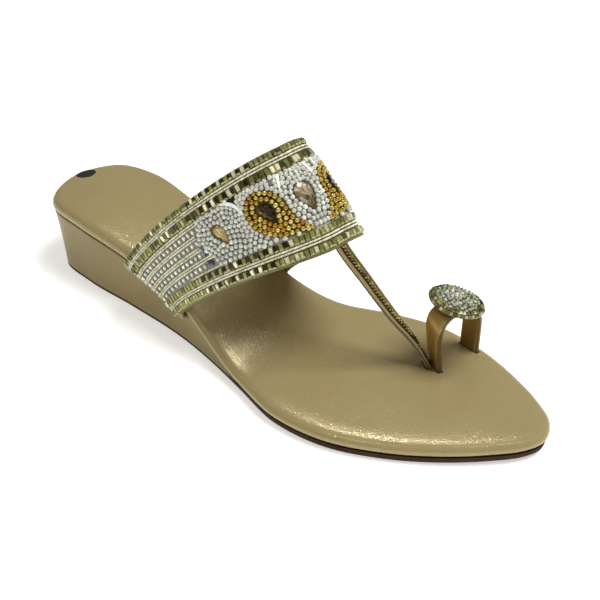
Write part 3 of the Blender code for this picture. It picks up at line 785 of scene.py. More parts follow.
def stringing_tree(name, on_path):
    """Sets a bead on every point, or along every path at an even pitch, standing on the leather below it."""
    tree = bpy.data.node_groups.new(name, "GeometryNodeTree")
    for label, kind in (("Geometry", "Geometry"), ("Bead", "Object"), ("Pitch", "Float"), ("Size", "Float"),
                        ("Size Play", "Float"), ("Tilt", "Float"), ("Seed", "Int"), ("Finish", "Material")):
        tree.interface.new_socket(label, in_out="INPUT", socket_type="NodeSocket" + kind)
    tree.interface.new_socket("Geometry", in_out="OUTPUT", socket_type="NodeSocketGeometry")
    bench = Bench(tree)
    node = bench.node
    inputs = tree.nodes.new("NodeGroupInput").outputs
    want = {socket.name: Wire(bench, socket) for socket in inputs if socket.name}

    def random(low, high, salt):
        return node("FunctionNodeRandomValue", {"data_type": "FLOAT"},
                    {2: low, 3: high, "Seed": want["Seed"] + salt}, 1)

    def stored(label, kind="FLOAT_VECTOR"):
        return node("GeometryNodeInputNamedAttribute", {"data_type": kind}, {"Name": label})

    seats, along, size = want["Geometry"], stored("along"), want["Size"]
    if on_path:
        curve = node("GeometryNodeMeshToCurve", {}, {"Mesh": seats})
        seats = node("GeometryNodeResampleCurve", {"mode": "LENGTH"}, {"Curve": curve, "Length": want["Pitch"]})
        along = node("GeometryNodeInputTangent")
    else:
        size = size * stored("size", "FLOAT")
    turn = node("FunctionNodeAxesToRotation", {"primary_axis": "Z", "secondary_axis": "X"}, {0: stored("up"), 1: along})
    lean = node("FunctionNodeRandomValue", {"data_type": "FLOAT_VECTOR"},
                {0: (-1.0, -1.0, -1.0), 1: (1.0, 1.0, 1.0), "Seed": want["Seed"] + 11})
    lean = node("ShaderNodeVectorMath", {"operation": "SCALE"}, {0: lean, "Scale": want["Tilt"]})
    turn = node("FunctionNodeRotateRotation", {"rotation_space": "LOCAL"},
                {0: turn, 1: node("FunctionNodeEulerToRotation", {}, {0: lean})})
    size = size * (1.0 + want["Size Play"] * random(-1.0, 1.0, 7))
    bead = node("GeometryNodeObjectInfo", {}, {"Object": want["Bead"]}, "Geometry")
    beads = node("GeometryNodeInstanceOnPoints", {},
                 {"Points": seats, "Instance": bead, "Rotation": turn, "Scale": size})
    if on_path:
        beads = node("GeometryNodeStoreNamedAttribute", {"data_type": "FLOAT", "domain": "INSTANCE"},
                     {"Geometry": beads, "Name": "tone", "Value": random(0.0, 1.0, 3)})
    whole = node("GeometryNodeRealizeInstances", {}, {"Geometry": beads})
    whole = node("GeometryNodeSetMaterial", {}, {"Geometry": whole, "Material": want["Finish"]})
    bench.feed(tree.nodes.new("NodeGroupOutput").inputs["Geometry"], whole)
    return tree


def strung(name, slot, points, edges, attributes, bead, finish, size, play, tilt, seed, pitch=1.0):
    """Shows the beads that the stringing tree makes on these points, or along the paths that edges join."""
    seats = bpy.data.meshes.new(name)
    seats.from_pydata(placed(points).tolist(), edges, [])
    for label, values in attributes.items():
        values = np.asarray(values, dtype=np.float32)
        kind, field = ("FLOAT_VECTOR", "vector") if values.ndim == 2 else ("FLOAT", "value")
        seats.attributes.new(label, kind, "POINT").data.foreach_set(field, values.ravel())
    holder = linked(name, seats)
    label = "beads on paths" if edges else "beads on points"
    modifier = holder.modifiers.new("stringing", "NODES")
    modifier.node_group = tree = bpy.data.node_groups.get(label) or stringing_tree(label, bool(edges))
    names = {item.name: item.identifier for item in tree.interface.items_tree if item.in_out == "INPUT"}
    for socket, value in (("Bead", bead), ("Pitch", pitch * MM), ("Size", size), ("Size Play", play),
                          ("Tilt", tilt), ("Seed", seed), ("Finish", finish.material)):
        modifier[names[socket]] = value
    graph = bpy.context.evaluated_depsgraph_get()
    mesh = bpy.data.meshes.new_from_object(holder.evaluated_get(graph), preserve_all_data_layers=True, depsgraph=graph)
    holder.modifiers.clear()
    drop(holder, bead)
    bpy.data.meshes.remove(seats)
    show(name, mesh, None, slot)


def turned_bead(name, profile, sides, flat=False, start=0.0, stretch=(1.0, 1.0), slant=0.0):
    """A bead turned from (radius, height) rows, a millimetre across and seated at its origin, as an object."""
    turn = around_circle(sides, start)
    ring = np.column_stack([np.cos(turn), np.sin(turn)])
    points = np.vstack([np.column_stack([turned(ring * radius * stretch, slant), np.full(sides, height)])
                        for radius, height in profile])
    return linked(name, solid(name, points * MM, tube(len(profile), sides), flat, False))


PEARL = ((0.36, 0.08), (0.5, 0.42), (0.45, 0.64), (0.32, 0.80), (0.17, 0.89), (0.05, 0.92))
PEARL_FILL = 1.04    # pearls are made this much larger than their pitch, so that they touch
GRAIN = ((0.2, 0.0), (0.42, 0.25), (0.5, 0.5), (0.36, 0.8), (0.1, 0.95))
FRONT_CUT, BACK_CUT = 0.75, 0.25    # how far the cut edges of a mirror bead reach in
MIRROR_HEIGHT = 1.15
PAINTED_GLINT_BY_FACE = (0.6, 0.0, 0.0, 0.0, 1.0, 0.25, 0.0, 0.25, 0.0, 0.0)    # painted glint: how far each face is painted towards the bright colour


def mirror_bead(length, width):
    """A mirror-backed glass bead, cut widest and brightest towards the toe; length runs along its row."""
    x, y = length / 2, width / 2
    foot = ((-x, -y), (x, -y), (x, y), (-x, y))
    low, high = FRONT_CUT - y, y - BACK_CUT
    face = ((BACK_CUT - x, low), (x - BACK_CUT, low), (x - BACK_CUT, high), (BACK_CUT - x, high))
    rings = ((foot, 0.0), (foot, 0.55), (face, 1.0))
    points = np.array([(*corner, height * MIRROR_HEIGHT) for ring, height in rings for corner in ring])
    bead = linked("mirror", solid("mirror", points * MM, tube(3, 4), True))
    bead.data.attributes.new("shine", "FLOAT", "FACE").data.foreach_set("value", PAINTED_GLINT_BY_FACE)
    return bead


def grain_bead(slant):
    """One slanting turn of a twisted cord or braid."""
    return turned_bead("grain", GRAIN, 6, stretch=(1.25, 0.62), slant=slant)


# The design, on the band's own ruler in millimetres: a from the lateral foot, b from the back edge.
MIDDLE_A = 93.6
BEAD_START = (0.9, -2.3)    # where the rows start along the band, at its back edge and at its front edge
CORD_ROWS = (3.55, 4.75, 38.4, 39.6)
CORD_SEAT, CORD_APART = LEATHER_OUT + 0.09, 0.6    # a cord's height, and how far it lies from its pair's middle
# rows: name, b, length along, width across, where black and bright beads alternate, single dark and bright beads
MIRROR_ROWS = (
    ("outer_back", 1.4, 1.8, 2.6, (50.0, 84.0), (), (26.0, 33.5)),
    ("inner_back", 7.25, 1.95, 3.4, (55.0, 74.0), (77.0, 81.0), (29.5, 33.0, 87.5, 90.0)),
    ("inner_front", 36.1, 1.95, 3.0, (48.0, 79.0), (29.6, 33.6, 40.1, 44.1), (8.5,)),
    ("outer_front", 42.0, 1.8, 2.8, (43.6, 66.6), (29.0, 36.0), (27.0, 71.6, 75.6, 84.6)),
)
# silver cords and crystal rows of the lateral end: b at the foot, b at the end, where it ends
SIDE_CORDS = ((11.6, 10.5, 48.6), (17.6, 16.1, 42.8), (23.6, 22.0, 40.4), (29.5, 27.6, 43.2))
SIDE_CRYSTALS = ((14.6, 13.2, 46.5), (20.6, 18.9, 41.0), (26.5, 25.0, 37.6), (32.3, 30.7, 35.6))
LAST_CORD = ((24.0, 33.6), (47.0, 33.2))
FIELD_B = (9.0, 34.1)
FIELD_START = ((9.5, 48.8), (12.5, 48.0), (14.5, 46.0), (17.0, 43.6), (20.0, 41.8), (24.5, 42.2), (28.0, 43.6),
               (33.5, 43.6))
# stones: name, head a, head b, radius, tip a, tip b, swing
STONES = (
    ("peach", 54.5, 18.9, 2.9, 55.0, 26.2, 0.0),
    ("smoke", 76.8, 20.0, 3.0, 78.4, 26.6, 0.6),
    ("clear", 93.6, 19.8, 4.0, 94.2, 28.0, 0.0),
)
GOLD_OUTLINE = (
    (76.9, 11.4), (72.2, 13.4), (69.2, 17.4), (68.4, 22.0), (69.6, 26.6), (73.0, 30.8), (78.4, 33.1), (84.0, 33.6),
    (89.6, 33.7), (87.2, 30.4), (85.2, 26.6), (84.8, 22.0), (84.3, 17.4), (81.6, 13.2),
)
# outlines of the thin mirror pieces between the motifs
SEQUINS = (
    ("black", ((65.6, 9.3), (70.6, 9.3), (68.6, 12.6))),
    ("silver", ((82.8, 9.4), (86.4, 9.4), (84.2, 12.6))),
    # the palest pieces are painted near pure white, a painted reflection of the light they catch
    ("white", ((62.4, 9.2), (64.9, 9.2), (67.4, 10.8), (69.0, 13.4), (69.3, 16.0), (68.8, 18.6), (68.3, 17.0),
               (67.9, 14.4), (66.3, 11.8), (64.4, 10.2))),
    ("white", ((87.5, 9.4), (88.3, 9.5), (87.3, 12.2), (86.1, 15.0), (85.6, 15.0), (86.0, 12.6), (86.7, 10.9))),
    ("violet", ((38.0, 29.4), (39.4, 28.3), (41.0, 28.9), (41.3, 30.6), (40.0, 31.8), (38.3, 31.0))),
    ("grey", ((38.6, 25.6), (39.6, 26.4), (42.2, 23.8), (43.6, 21.6), (43.0, 20.6), (41.2, 22.8))),
)
STONE_BED = 0.35    # how far a stone's setting keeps the beads off
HEX = 0.866    # height of a triangle of beads, in times its side
FIT_ROOMS = (0.86, 0.76, 0.66, 0.56)    # how near beads may first be set, in times their pitch, until enough are
GOLD_SPOTS, GOLD_STEP, GOLD_RINGS = (66.0, 92.0, 10.0, 35.0), 0.3, 3    # a from and to, b from and to
PEARL_START, PEARL_STEP, PEARL_RINGS = 38.0, 0.36, 4
RING_ROOM, RING_PITCH = 0.4, 0.96    # pearls round a stone: its setting's room, and the rings' pitch in times a pearl
PEARL_CLEAR = 0.45    # how clear of the motifs a ring's pearls keep, in times a pearl


def mirrored(points):
    """The same place on the medial half of the band."""
    return (2 * MIDDLE_A, 0.0) + np.asarray(points, dtype=float) * (-1, 1)


def nearer(a):
    """Places along the band, counted from the nearer foot."""
    return np.minimum(a, 2 * MIDDLE_A - a)


def field_start(b):
    return np.interp(b, column(FIELD_START, 0), column(FIELD_START, 1))


def teardrop(a, b, radius, tip_a, tip_b, swing=0.0, grow=0.0, count=48):
    """Closed teardrop on the ruler, round at its head and pointed at its tip."""
    head, tip = np.array([a, b]), np.array([tip_a, tip_b])
    reach = np.linalg.norm(tip - head)
    way = (tip - head) / reach
    big, long = radius + grow, reach + grow * 1.25
    widest = math.acos(2 * big / (long + big) - 1)
    power = -2 * math.tan(widest / 2) / math.tan(widest)
    turn = around_circle(count)
    far = -big + (1 + np.cos(turn)) / 2 * (long + big)
    peak = math.sin(widest) * math.sin(widest / 2) ** power
    wide = big * np.sin(turn) * np.abs(np.sin(turn / 2)) ** power / peak + swing * np.clip(far / long, 0, 1) ** 2
    return head + far[:, None] * way + wide[:, None] * np.array([-way[1], way[0]])


def inside(points, outline):
    """Which points lie inside a closed outline."""
    x, y = np.asarray(points)[:, None, 0], np.asarray(points)[:, None, 1]
    a, b = outline, np.roll(outline, -1, axis=0)
    rise = np.where(b[:, 1] == a[:, 1], 1e-9, b[:, 1] - a[:, 1])
    crossing = x < (b[:, 0] - a[:, 0]) * (y - a[:, 1]) / rise + a[:, 0]
    return (((a[:, 1] > y) != (b[:, 1] > y)) & crossing).sum(axis=1) % 2 == 1


def away(points, outline):
    """Distance on the ruler from points to the nearest point of an outline."""
    return np.sqrt(((np.asarray(points)[:, None] - outline[None]) ** 2).sum(axis=2)).min(axis=1)


def spaced(plan, pitch, closed=True):
    """Points on a ruler path, an even distance apart on the leather itself."""
    if closed:
        plan = np.vstack([plan, plan[:1]])
    fine = even_steps(plan, len(plan) * 6)
    run = run_of(BAND.at(fine))
    marks = np.linspace(0.0, run[-1], max(2, round(run[-1] / pitch)) + 1)
    return read_path(fine, run, marks[:-1] if closed else marks)


def shrunk(outline, distance):
    """An outline moved inwards by a distance on the ruler."""
    fine = smooth_path(outline, 8, closed=True)[:-1]
    tangent = unit(np.roll(fine, -1, axis=0) - np.roll(fine, 1, axis=0))
    normal = np.column_stack([-tangent[:, 1], tangent[:, 0]])
    if not inside((fine + normal * 0.05)[:1], fine)[0]:
        normal = -normal
    moved = fine + normal * distance
    return moved[away(moved, fine) > distance * 0.93]


def fitted(candidates, taken, room):
    """The candidates that leave each other and the taken places room, in turn."""
    seats = BAND.at(np.vstack([taken, candidates]))
    count, keep = len(taken), []
    for k, seat in enumerate(seats[count:].copy()):
        if count == 0 or ((seats[:count] - seat) ** 2).sum(axis=1).min() > room * room:
            seats[count] = seat
            count += 1
            keep.append(k)
    return candidates[keep]


def hex_grid(low_a, high_a, low_b, high_b, pitch):
    rows = []
    for k, b in enumerate(np.arange(low_b, high_b, pitch * HEX)):
        a = np.arange(low_a + (k % 2) * pitch / 2, high_a, pitch)
        rows.append(np.column_stack([a, np.full_like(a, b)]))
    return np.vstack(rows)


def settled(seeds, spots, rounds=8):
    """Seeds moved to the middle of the spots nearest to each, so that they spread evenly over them."""
    seats = BAND.at(spots)
    for _ in range(rounds):
        places = BAND.at(seeds)
        nearest = ((places ** 2).sum(axis=1)[None] - 2 * seats @ places.T).argmin(axis=1)
        share = np.bincount(nearest, minlength=len(seeds))
        moved = [np.bincount(nearest, spots[:, k], len(seeds)) / np.maximum(share, 1) for k in (0, 1)]
        seeds = np.where(share[:, None] > 0, np.column_stack(moved), seeds)
    return seeds


def filled(rings, spots, pitch, step):
    """Beads at a pitch all over the spots of a hexagonal grid, in line with the rings where they can."""
    ahead, aside = (BAND.at(spots + half) - BAND.at(spots - half) for half in ((0.5, 0.0), (0.0, 0.5)))
    area = np.linalg.norm(np.cross(ahead, aside), axis=1).sum() * HEX * step * step
    count = int(area / (HEX * pitch * pitch))
    seeds = np.zeros((0, 2))
    for ring in rings:
        seeds = np.vstack([seeds, fitted(ring, seeds, pitch * FIT_ROOMS[0])])
    for room in FIT_ROOMS:
        if len(seeds) < count:
            seeds = np.vstack([seeds, fitted(spots, seeds, pitch * room)])
    return settled(seeds[:count], spots)


class Design:
    """Where every bead of the band's field goes."""

    def __init__(self, pearl_size, gold_size):
        self.sequins = [(tone, np.array(corners) if len(corners) < 5 else smooth_path(corners, 4, closed=True)[:-1])
                        for tone, corners in SEQUINS]
        self.gold_zone = smooth_path(GOLD_OUTLINE, 8, closed=True)[:-1]
        smoke = STONES[1][1:]
        core = teardrop(*smoke, grow=STONE_BED)

        def in_gold(spots):
            return spots[inside(spots, self.gold_zone) & ~inside(spots, core)]

        rings = [teardrop(*smoke, grow=STONE_BED + gold_size / 2)]
        rings += [shrunk(GOLD_OUTLINE, (step + 0.5) * gold_size) for step in range(GOLD_RINGS)]
        rings = [in_gold(spaced(ring, gold_size)) for ring in rings]
        gold = filled(rings, in_gold(hex_grid(*GOLD_SPOTS, GOLD_STEP)), gold_size, GOLD_STEP)
        rings = [spaced(teardrop(*stone[1:], grow=RING_ROOM + pearl_size * (0.5 + step * RING_PITCH)), pearl_size)
                 for step in range(PEARL_RINGS) for stone in STONES[::2]]
        rings = [self.free(ring, pearl_size * PEARL_CLEAR) for ring in rings]
        spots = self.free(hex_grid(PEARL_START, MIDDLE_A, *FIELD_B, PEARL_STEP), 0.0)
        pearls = filled(rings, spots, pearl_size, PEARL_STEP)
        self.gold, self.pearls = (np.vstack([half, mirrored(half)]) for half in (gold, pearls))
        self.sequins += [(tone, mirrored(corners)) for tone, corners in self.sequins]

    def free(self, spots, gap):
        """The spots of the pearl field's lateral half that are clear of the motifs and mirror pieces by a gap."""
        a, b = spots.T
        keep = (a > field_start(b) + gap) & (a < MIDDLE_A - gap) & (b > FIELD_B[0] + gap) & (b < FIELD_B[1] - gap)
        pieces = [self.gold_zone, *(teardrop(*stone[1:], grow=STONE_BED) for stone in STONES)]
        for outline in pieces + [corners for _, corners in self.sequins]:
            edge = even_steps(np.vstack([outline, outline[:1]]), 90)
            keep &= ~inside(spots, outline) & (away(spots, edge) > gap)
        return spots[keep]


design_of = functools.lru_cache(Design)


def bead_field(name, plan, tones, bead, finish, size, seed, lift=LEATHER_OUT - 0.1, play=0.06, tilt=0.0):
    """Beads set at places of the ruler."""
    ahead = BAND.at(plan + (0.5, 0.0)) - BAND.at(plan - (0.5, 0.0))
    attributes = {"up": BAND.up(plan), "along": unit(ahead), "tone": tones, "size": np.ones(len(plan))}
    strung(name, "beaded_leather", BAND.at(plan, lift), [], attributes, bead, finish, size, play, tilt, seed)


def bead_paths(name, plans, lift, bead, finish, size, play, tilt, seed, pitch):
    """Beads along several ruler paths."""
    edges, start = [], 0
    for plan in plans:
        edges += [(start + k, start + k + 1) for k in range(len(plan) - 1)]
        start += len(plan)
    plan = np.vstack(plans)
    strung(name, "beaded_leather", BAND.at(plan, lift), edges, {"up": BAND.up(plan)}, bead, finish, size, play, tilt,
           seed, pitch)


def row_start(b):
    """Where a row of beads starts, above the lateral foot."""
    return BEAD_START[0] + (BEAD_START[1] - BEAD_START[0]) * b / BAND_WIDTH


def straight(a, b, count=80):
    """A ruler path between two places."""
    return np.column_stack([np.linspace(a[0], b[0], count), np.linspace(a[1], b[1], count)])


def both_ends(a, b, count=80):
    """A straight ruler path, and the same on the medial half."""
    plan = straight(a, b, count)
    return [plan, mirrored(plan)]


def tinted(name, stops, roughness, metallic, speckle=0.12, shine=None, **constants):
    """A bead finish whose colour runs over its beads' tones, and a little within each bead."""
    finish = Finish(name, stops[len(stops) // 2][1], roughness, metallic, **constants)
    cloud = finish.noise(0.6, 1.0)
    tone = finish.attribute("tone") + (cloud - 0.5) * speckle
    colour = finish.node("ShaderNodeValToRGB", {"stops": stops}, {"Fac": tone})
    # painted glint: faces that the mesh marks are painted towards a bright colour
    if shine is not None:
        colour = finish.blend(finish.attribute("shine"), colour, shine)
    finish.put("Base Color", colour)
    finish.put("Roughness", roughness + (cloud - 0.5) * 0.08)
    return finish


def make_cords(want):
    """Twisted cords: two pairs between the rows of mirror beads, four pairs at each end"""
    plans = [straight((row_start(b), b), (2 * MIDDLE_A - row_start(b), b), 400) for b in CORD_ROWS]
    for foot, end, stop in SIDE_CORDS:
        for side in (-CORD_APART, CORD_APART):
            plans += both_ends((row_start(foot), foot + side), (stop, end + side))
    plans += both_ends(*LAST_CORD)
    finish = tinted("twisted_cord", ((0.0, (0.46, 0.44, 0.28)), (0.5, want.cord_colour), (1.0, (0.92, 0.90, 0.76))),
                    roughness=0.45, metallic=0.15)
    bead_paths("twisted_cords", plans, CORD_SEAT, grain_bead(slant=38), finish, want.cord_size, play=0.05, tilt=0.0,
               seed=5, pitch=want.cord_twist)


MIRROR_APART, SPOT_REACH = 1.06, 0.55    # pitch, and how near a single bead is to its place, in times its length
# back rows are painted darker and front rows lighter: painted shade and painted light for how the lamps fall on them
SHADED_BACK_TONE, LIT_FRONT_TONE, TONE_SPREAD, TONE_RANGE = 0.4, 0.68, 0.17, (0.24, 0.9)
BLACK, LONE_BLACK, BRIGHT, HALF_BRIGHT = 0.06, 0.05, 1.0, 0.74


def make_mirror_rows(want):
    """Rows of square mirror beads along both edges, olive, with runs of black and bright ones"""
    rng = np.random.default_rng(3)
    stops = ((0.0, (0.012, 0.010, 0.004)), (0.2, (0.05, 0.045, 0.012)), (0.36, shade_of(want.olive_colour, 0.45)),
             (0.55, want.olive_colour), (0.82, (0.32, 0.32, 0.11)), (0.97, (0.85, 0.80, 0.54)))
    finish = tinted("mirror_beads", stops, roughness=0.2, metallic=0.45, speckle=0.4, shine=(0.32, 0.315, 0.145),
                    specular_ior_level=0.35)
    for group, (name, b, length, width, run, darks, brights) in enumerate(MIRROR_ROWS):
        rows, tones = [], []
        for plan in both_ends((row_start(b), b), (MIDDLE_A, b), 200):
            spots = spaced(plan, length * MIRROR_APART, closed=False)
            if rows:
                spots = spots[:-1]
            # painted shade on the back rows, painted light on the front rows
            painted_light_tone = SHADED_BACK_TONE if b < BAND_WIDTH / 2 else LIT_FRONT_TONE
            tone = np.clip(rng.normal(painted_light_tone, TONE_SPREAD, len(spots)), *TONE_RANGE)
            dark = False
            for k, a in enumerate(nearer(spots[:, 0])):
                if run[0] <= a <= run[1]:
                    dark = not dark
                    tone[k] = BLACK if dark else (BRIGHT if rng.random() < 0.5 else HALF_BRIGHT)
                elif any(abs(a - place) < length * SPOT_REACH for place in darks):
                    tone[k] = LONE_BLACK
                elif any(abs(a - place) < length * SPOT_REACH for place in brights):
                    tone[k] = BRIGHT
            rows.append(spots)
            tones.append(tone)
        bead_field("mirror_row_" + name, np.vstack(rows), np.concatenate(tones), mirror_bead(length, width), finish,
                   size=1.0, seed=20 + group, lift=LEATHER_OUT - 0.05, play=0.05, tilt=0.17)


def make_crystal_rows(want):
    """Rows of small square crystals between the silver cords of both ends"""
    plans = []
    for foot, end, stop in SIDE_CRYSTALS:
        plans += both_ends((row_start(foot) + 0.8, foot), (stop, end))
    crystal = turned_bead("crystal", ((0.62, 0.0), (0.68, 0.3), (0.4, 0.62)), 6, flat=True, stretch=(0.82, 1.0))
    finish = tinted("side_crystals", ((0.0, (0.66, 0.65, 0.55)), (0.5, (0.86, 0.85, 0.74)), (1.0, (1.0, 1.0, 0.92))),
                    roughness=0.14, metallic=0.25, coat_weight=0.6)
    bead_paths("crystal_rows", plans, LEATHER_OUT, crystal, finish, want.crystal_size, play=0.06, tilt=0.16, seed=9,
               pitch=want.crystal_pitch)


def make_pearls(want):
    """The pearls of the field, ringed round the pale stones"""
    plan = want.design.pearls
    rng = np.random.default_rng(21)
    tones = np.clip(rng.normal(0.62, 0.2, len(plan)), 0.2, 1.0)
    tones[rng.random(len(plan)) < 0.04] = 0.1
    stops = ((0.0, (0.40, 0.38, 0.46)), (0.12, (0.48, 0.46, 0.48)), (0.25, (0.46, 0.50, 0.40)),
             (0.45, (0.58, 0.55, 0.50)), (0.7, want.pearl_colour), (1.0, (0.82, 0.85, 0.74)))
    finish = tinted("pearls", stops, roughness=0.16, metallic=0.12, speckle=0.3, coat_weight=0.7)
    bead_field("pearls", plan, tones, turned_bead("pearl", PEARL, 10), finish, want.pearl_size * PEARL_FILL, seed=31)


def make_gold_beads(want):
    """The gold beads of the two curled motifs"""
    plan = want.design.gold
    tones = np.clip(np.random.default_rng(22).normal(0.55, 0.2, len(plan)), 0.0, 1.0)
    stops = ((0.0, (0.36, 0.12, 0.012)), (0.3, (0.45, 0.23, 0.015)), (0.6, want.gold_colour), (1.0, (0.80, 0.66, 0.22)))
    finish = tinted("gold_beads", stops, roughness=0.18, metallic=0.6, speckle=0.4, coat_weight=0.5)
    bead_field("gold_beads", plan, tones, turned_bead("gold", PEARL, 10), finish, want.gold_size, seed=32)


# stones: dark, middle and light colour, and which way along the band and across it the stone is painted lighter, a
# painted highlight
STONE_TONES = {
    "peach": ((0.15, 0.09, 0.03), (0.48, 0.33, 0.125), (0.95, 0.88, 0.60), (0.26, 0.05)),
    "smoke": ((0.006, 0.004, 0.002), (0.05, 0.035, 0.010), (0.30, 0.26, 0.09), (-0.25, 0.0)),
    "clear": ((0.08, 0.052, 0.02), (0.38, 0.32, 0.19), (0.88, 0.88, 0.82), (-0.05, -0.22)),
}
# how far in a stone's cuts lie, in times its head's radius, and how high
STONE_CUTS = ((0.0, 0.0), (0.0, 0.75), (0.32, 1.35), (0.55, 1.6))
STONE_STEPS, STONE_ROOM = 22, 0.1
STONE_TONE, STONE_SPREAD = 0.45, 0.14
SETTING_STEPS, SETTING_OUT, SETTING_LIFT, SETTING_WIRE = 56, 0.22, 0.35, 0.33


def stone_shape(tear, on_side):
    """A faceted stone's points, its faces and the ruler's places below its points."""
    cuts = [teardrop(*tear, grow=-max(STONE_ROOM, tear[2] * share), count=STONE_STEPS) for share, _ in STONE_CUTS]
    rings = [BAND.at(on_side(cut), LEATHER_OUT + lift) for cut, (_, lift) in zip(cuts, STONE_CUTS)]
    points, plan = (np.vstack([*rows, rows[-1].mean(axis=0)]) for rows in (rings, cuts))
    last = (len(rings) - 1) * STONE_STEPS
    faces = grid(len(rings), STONE_STEPS, wrap=True) + [tuple(range(STONE_STEPS))]
    faces += [(last + k, last + (k + 1) % STONE_STEPS, len(points) - 1) for k in range(STONE_STEPS)]
    return points, faces, plan


def setting_shape(tear, on_side):
    """Points and faces of the wire round a stone."""
    rim = on_side(teardrop(*tear, grow=SETTING_OUT, count=SETTING_STEPS))
    path, up = BAND.at(rim, LEATHER_OUT + SETTING_LIFT), BAND.up(rim)
    ahead = unit(np.roll(path, -1, axis=0) - np.roll(path, 1, axis=0))
    return sweep(path, unit(np.cross(ahead, up)), up, round_profile(SETTING_WIRE, 6), closed=True)


def make_stones(want):
    """Faceted teardrop stones in thin metal settings"""
    rng = np.random.default_rng(7)
    for side, on_side, stones in (("", np.asarray, STONES), ("_medial", mirrored, STONES[:2])):
        for name, *tear in stones:
            points, faces, plan = stone_shape(tear, on_side)
            mesh = last_solid("stone_" + name, points, faces, flat=True)
            dark, body, light, way = STONE_TONES[name]
            middle = np.array([plan[list(face.vertices)].mean(axis=0) for face in mesh.polygons]) - tear[:2]
            # painted highlight: each stone's facets are painted lighter towards one side, with a random spread
            tones = STONE_TONE + middle @ way / tear[2] + rng.normal(0, STONE_SPREAD, len(middle))
            tones = np.clip(tones, 0.0, 1.0).astype(np.float32)
            mesh.attributes.new("tone", "FLOAT", "FACE").data.foreach_set("value", tones)
            finish = tinted("stone_" + name, ((0.1, dark), (0.5, body), (0.9, light)), roughness=0.08, metallic=0.35,
                            speckle=0.3, coat_weight=0.15, specular_ior_level=0.3)
            show("stone_" + name + side, mesh, finish, "crystal")
            metal = Finish("setting", (0.20, 0.15, 0.07), roughness=0.3, metallic=0.85)
            metal.put("Roughness", 0.22 + metal.noise(0.8) * 0.2)
            show("setting_" + name + side, last_solid("setting", *setting_shape(tear, on_side)), metal, "crystal")


# mirror pieces: colour, roughness, metallic and how high they stand; the palest ones are painted near pure white, a
# painted reflection of the light they catch
SEQUIN_LOOKS = {
    "black": ((0.012, 0.014, 0.012), 0.12, 0.4, 0.75), "silver": ((0.50, 0.52, 0.54), 0.1, 0.9, 0.75),
    "white": ((1.0, 1.0, 0.98), 0.3, 0.0, 1.5), "violet": ((0.10, 0.08, 0.14), 0.15, 0.5, 0.75),
    "grey": ((0.15, 0.15, 0.17), 0.2, 0.6, 0.75),
}
SEQUIN_STEPS, SEQUIN_TOP, SEQUIN_BEVEL = 18, 0.86, 0.2    # a piece's top in times its outline, and its bevel's height


def make_sequins(want):
    """Thin mirror pieces let in between the motifs"""
    for tone, (colour, roughness, metallic, rise) in SEQUIN_LOOKS.items():
        parts = []
        for corners in (corners for own, corners in want.design.sequins if own == tone):
            edge = even_steps(np.vstack([corners, corners[:1]]), SEQUIN_STEPS)[:-1]
            top = edge * SEQUIN_TOP + edge.mean(axis=0) * (1 - SEQUIN_TOP)
            rings = [BAND.at(ring, LEATHER_OUT + lift)
                     for ring, lift in ((edge, 0), (edge, rise), (top, rise + SEQUIN_BEVEL))]
            parts.append((np.vstack(rings), tube(3, SEQUIN_STEPS)))
        finish = Finish("sequin_" + tone, colour, roughness, metallic, coat_weight=0.4)
        sheen = finish.noise(1.6, 1.0)
        finish.cloud(sheen, colour, 0.7, 1.3)
        finish.put("Roughness", roughness + sheen * 0.1)
        name = "sequins_" + tone
        show(name, last_solid(name, *joined(*parts)), finish, "beaded_leather")


# ---------------------------------------------------------------- straps

def strap_frames(rows, steps, across, pitch=0.0):
    """A strap's middle line with its width and outward directions."""
    rows = even_steps(smooth_path(rows), steps)
    path, yaw, tilt = rows[:, :3], np.radians(rows[:, 3]), math.radians(pitch)
    along = unit(np.gradient(path, axis=0))
    if across:
        wide = np.column_stack([np.sin(yaw), -np.cos(yaw), np.zeros_like(yaw)])
    else:
        wide = np.column_stack([np.cos(yaw) * math.cos(tilt), np.sin(yaw) * math.cos(tilt),
                                np.full_like(yaw, -math.sin(tilt))])
    wide = unit(wide - along * (along * wide).sum(axis=1, keepdims=True))
    return path, wide, np.cross(wide, along)


GROOVE_WIDTH = 0.28


def strap_profile(width, low, high, edge, crown=0.0, groove_at=0.0, groove=0.0, count=24):
    """A strap's section with rounded edges, a crowned face and a line pressed in it."""
    half = width / 2
    x = np.linspace(-half + edge, half - edge, count)
    face = high + crown * (1 - (x / half) ** 2) - groove * np.exp(-((x - groove_at) / GROOVE_WIDTH) ** 2)
    turn = np.linspace(0.0, math.pi, 7)[1:-1]
    out, up = half - edge + edge * np.sin(turn), (high - low) / 2 * np.cos(turn)
    middle = (low + high) / 2
    return np.vstack([np.column_stack([x, face]), np.column_stack([out, middle + up]),
                      np.column_stack([x[::-1], np.full(count, low)]), np.column_stack([-out, middle - up])])


PIPE_RADIUS, PIPE_LIFT = 0.5, 0.45
BRAID_HALF, PIPE_ROOM = 1.2, 1.1    # painted shade darkens the leather under the braid and under the pipes
BRAID_APART, BRAID_LIFT = 0.5, 0.3
STRAP_FACE, STRAP_SIDE = 0.3, -0.55    # what is above these is the strap's face and its sides


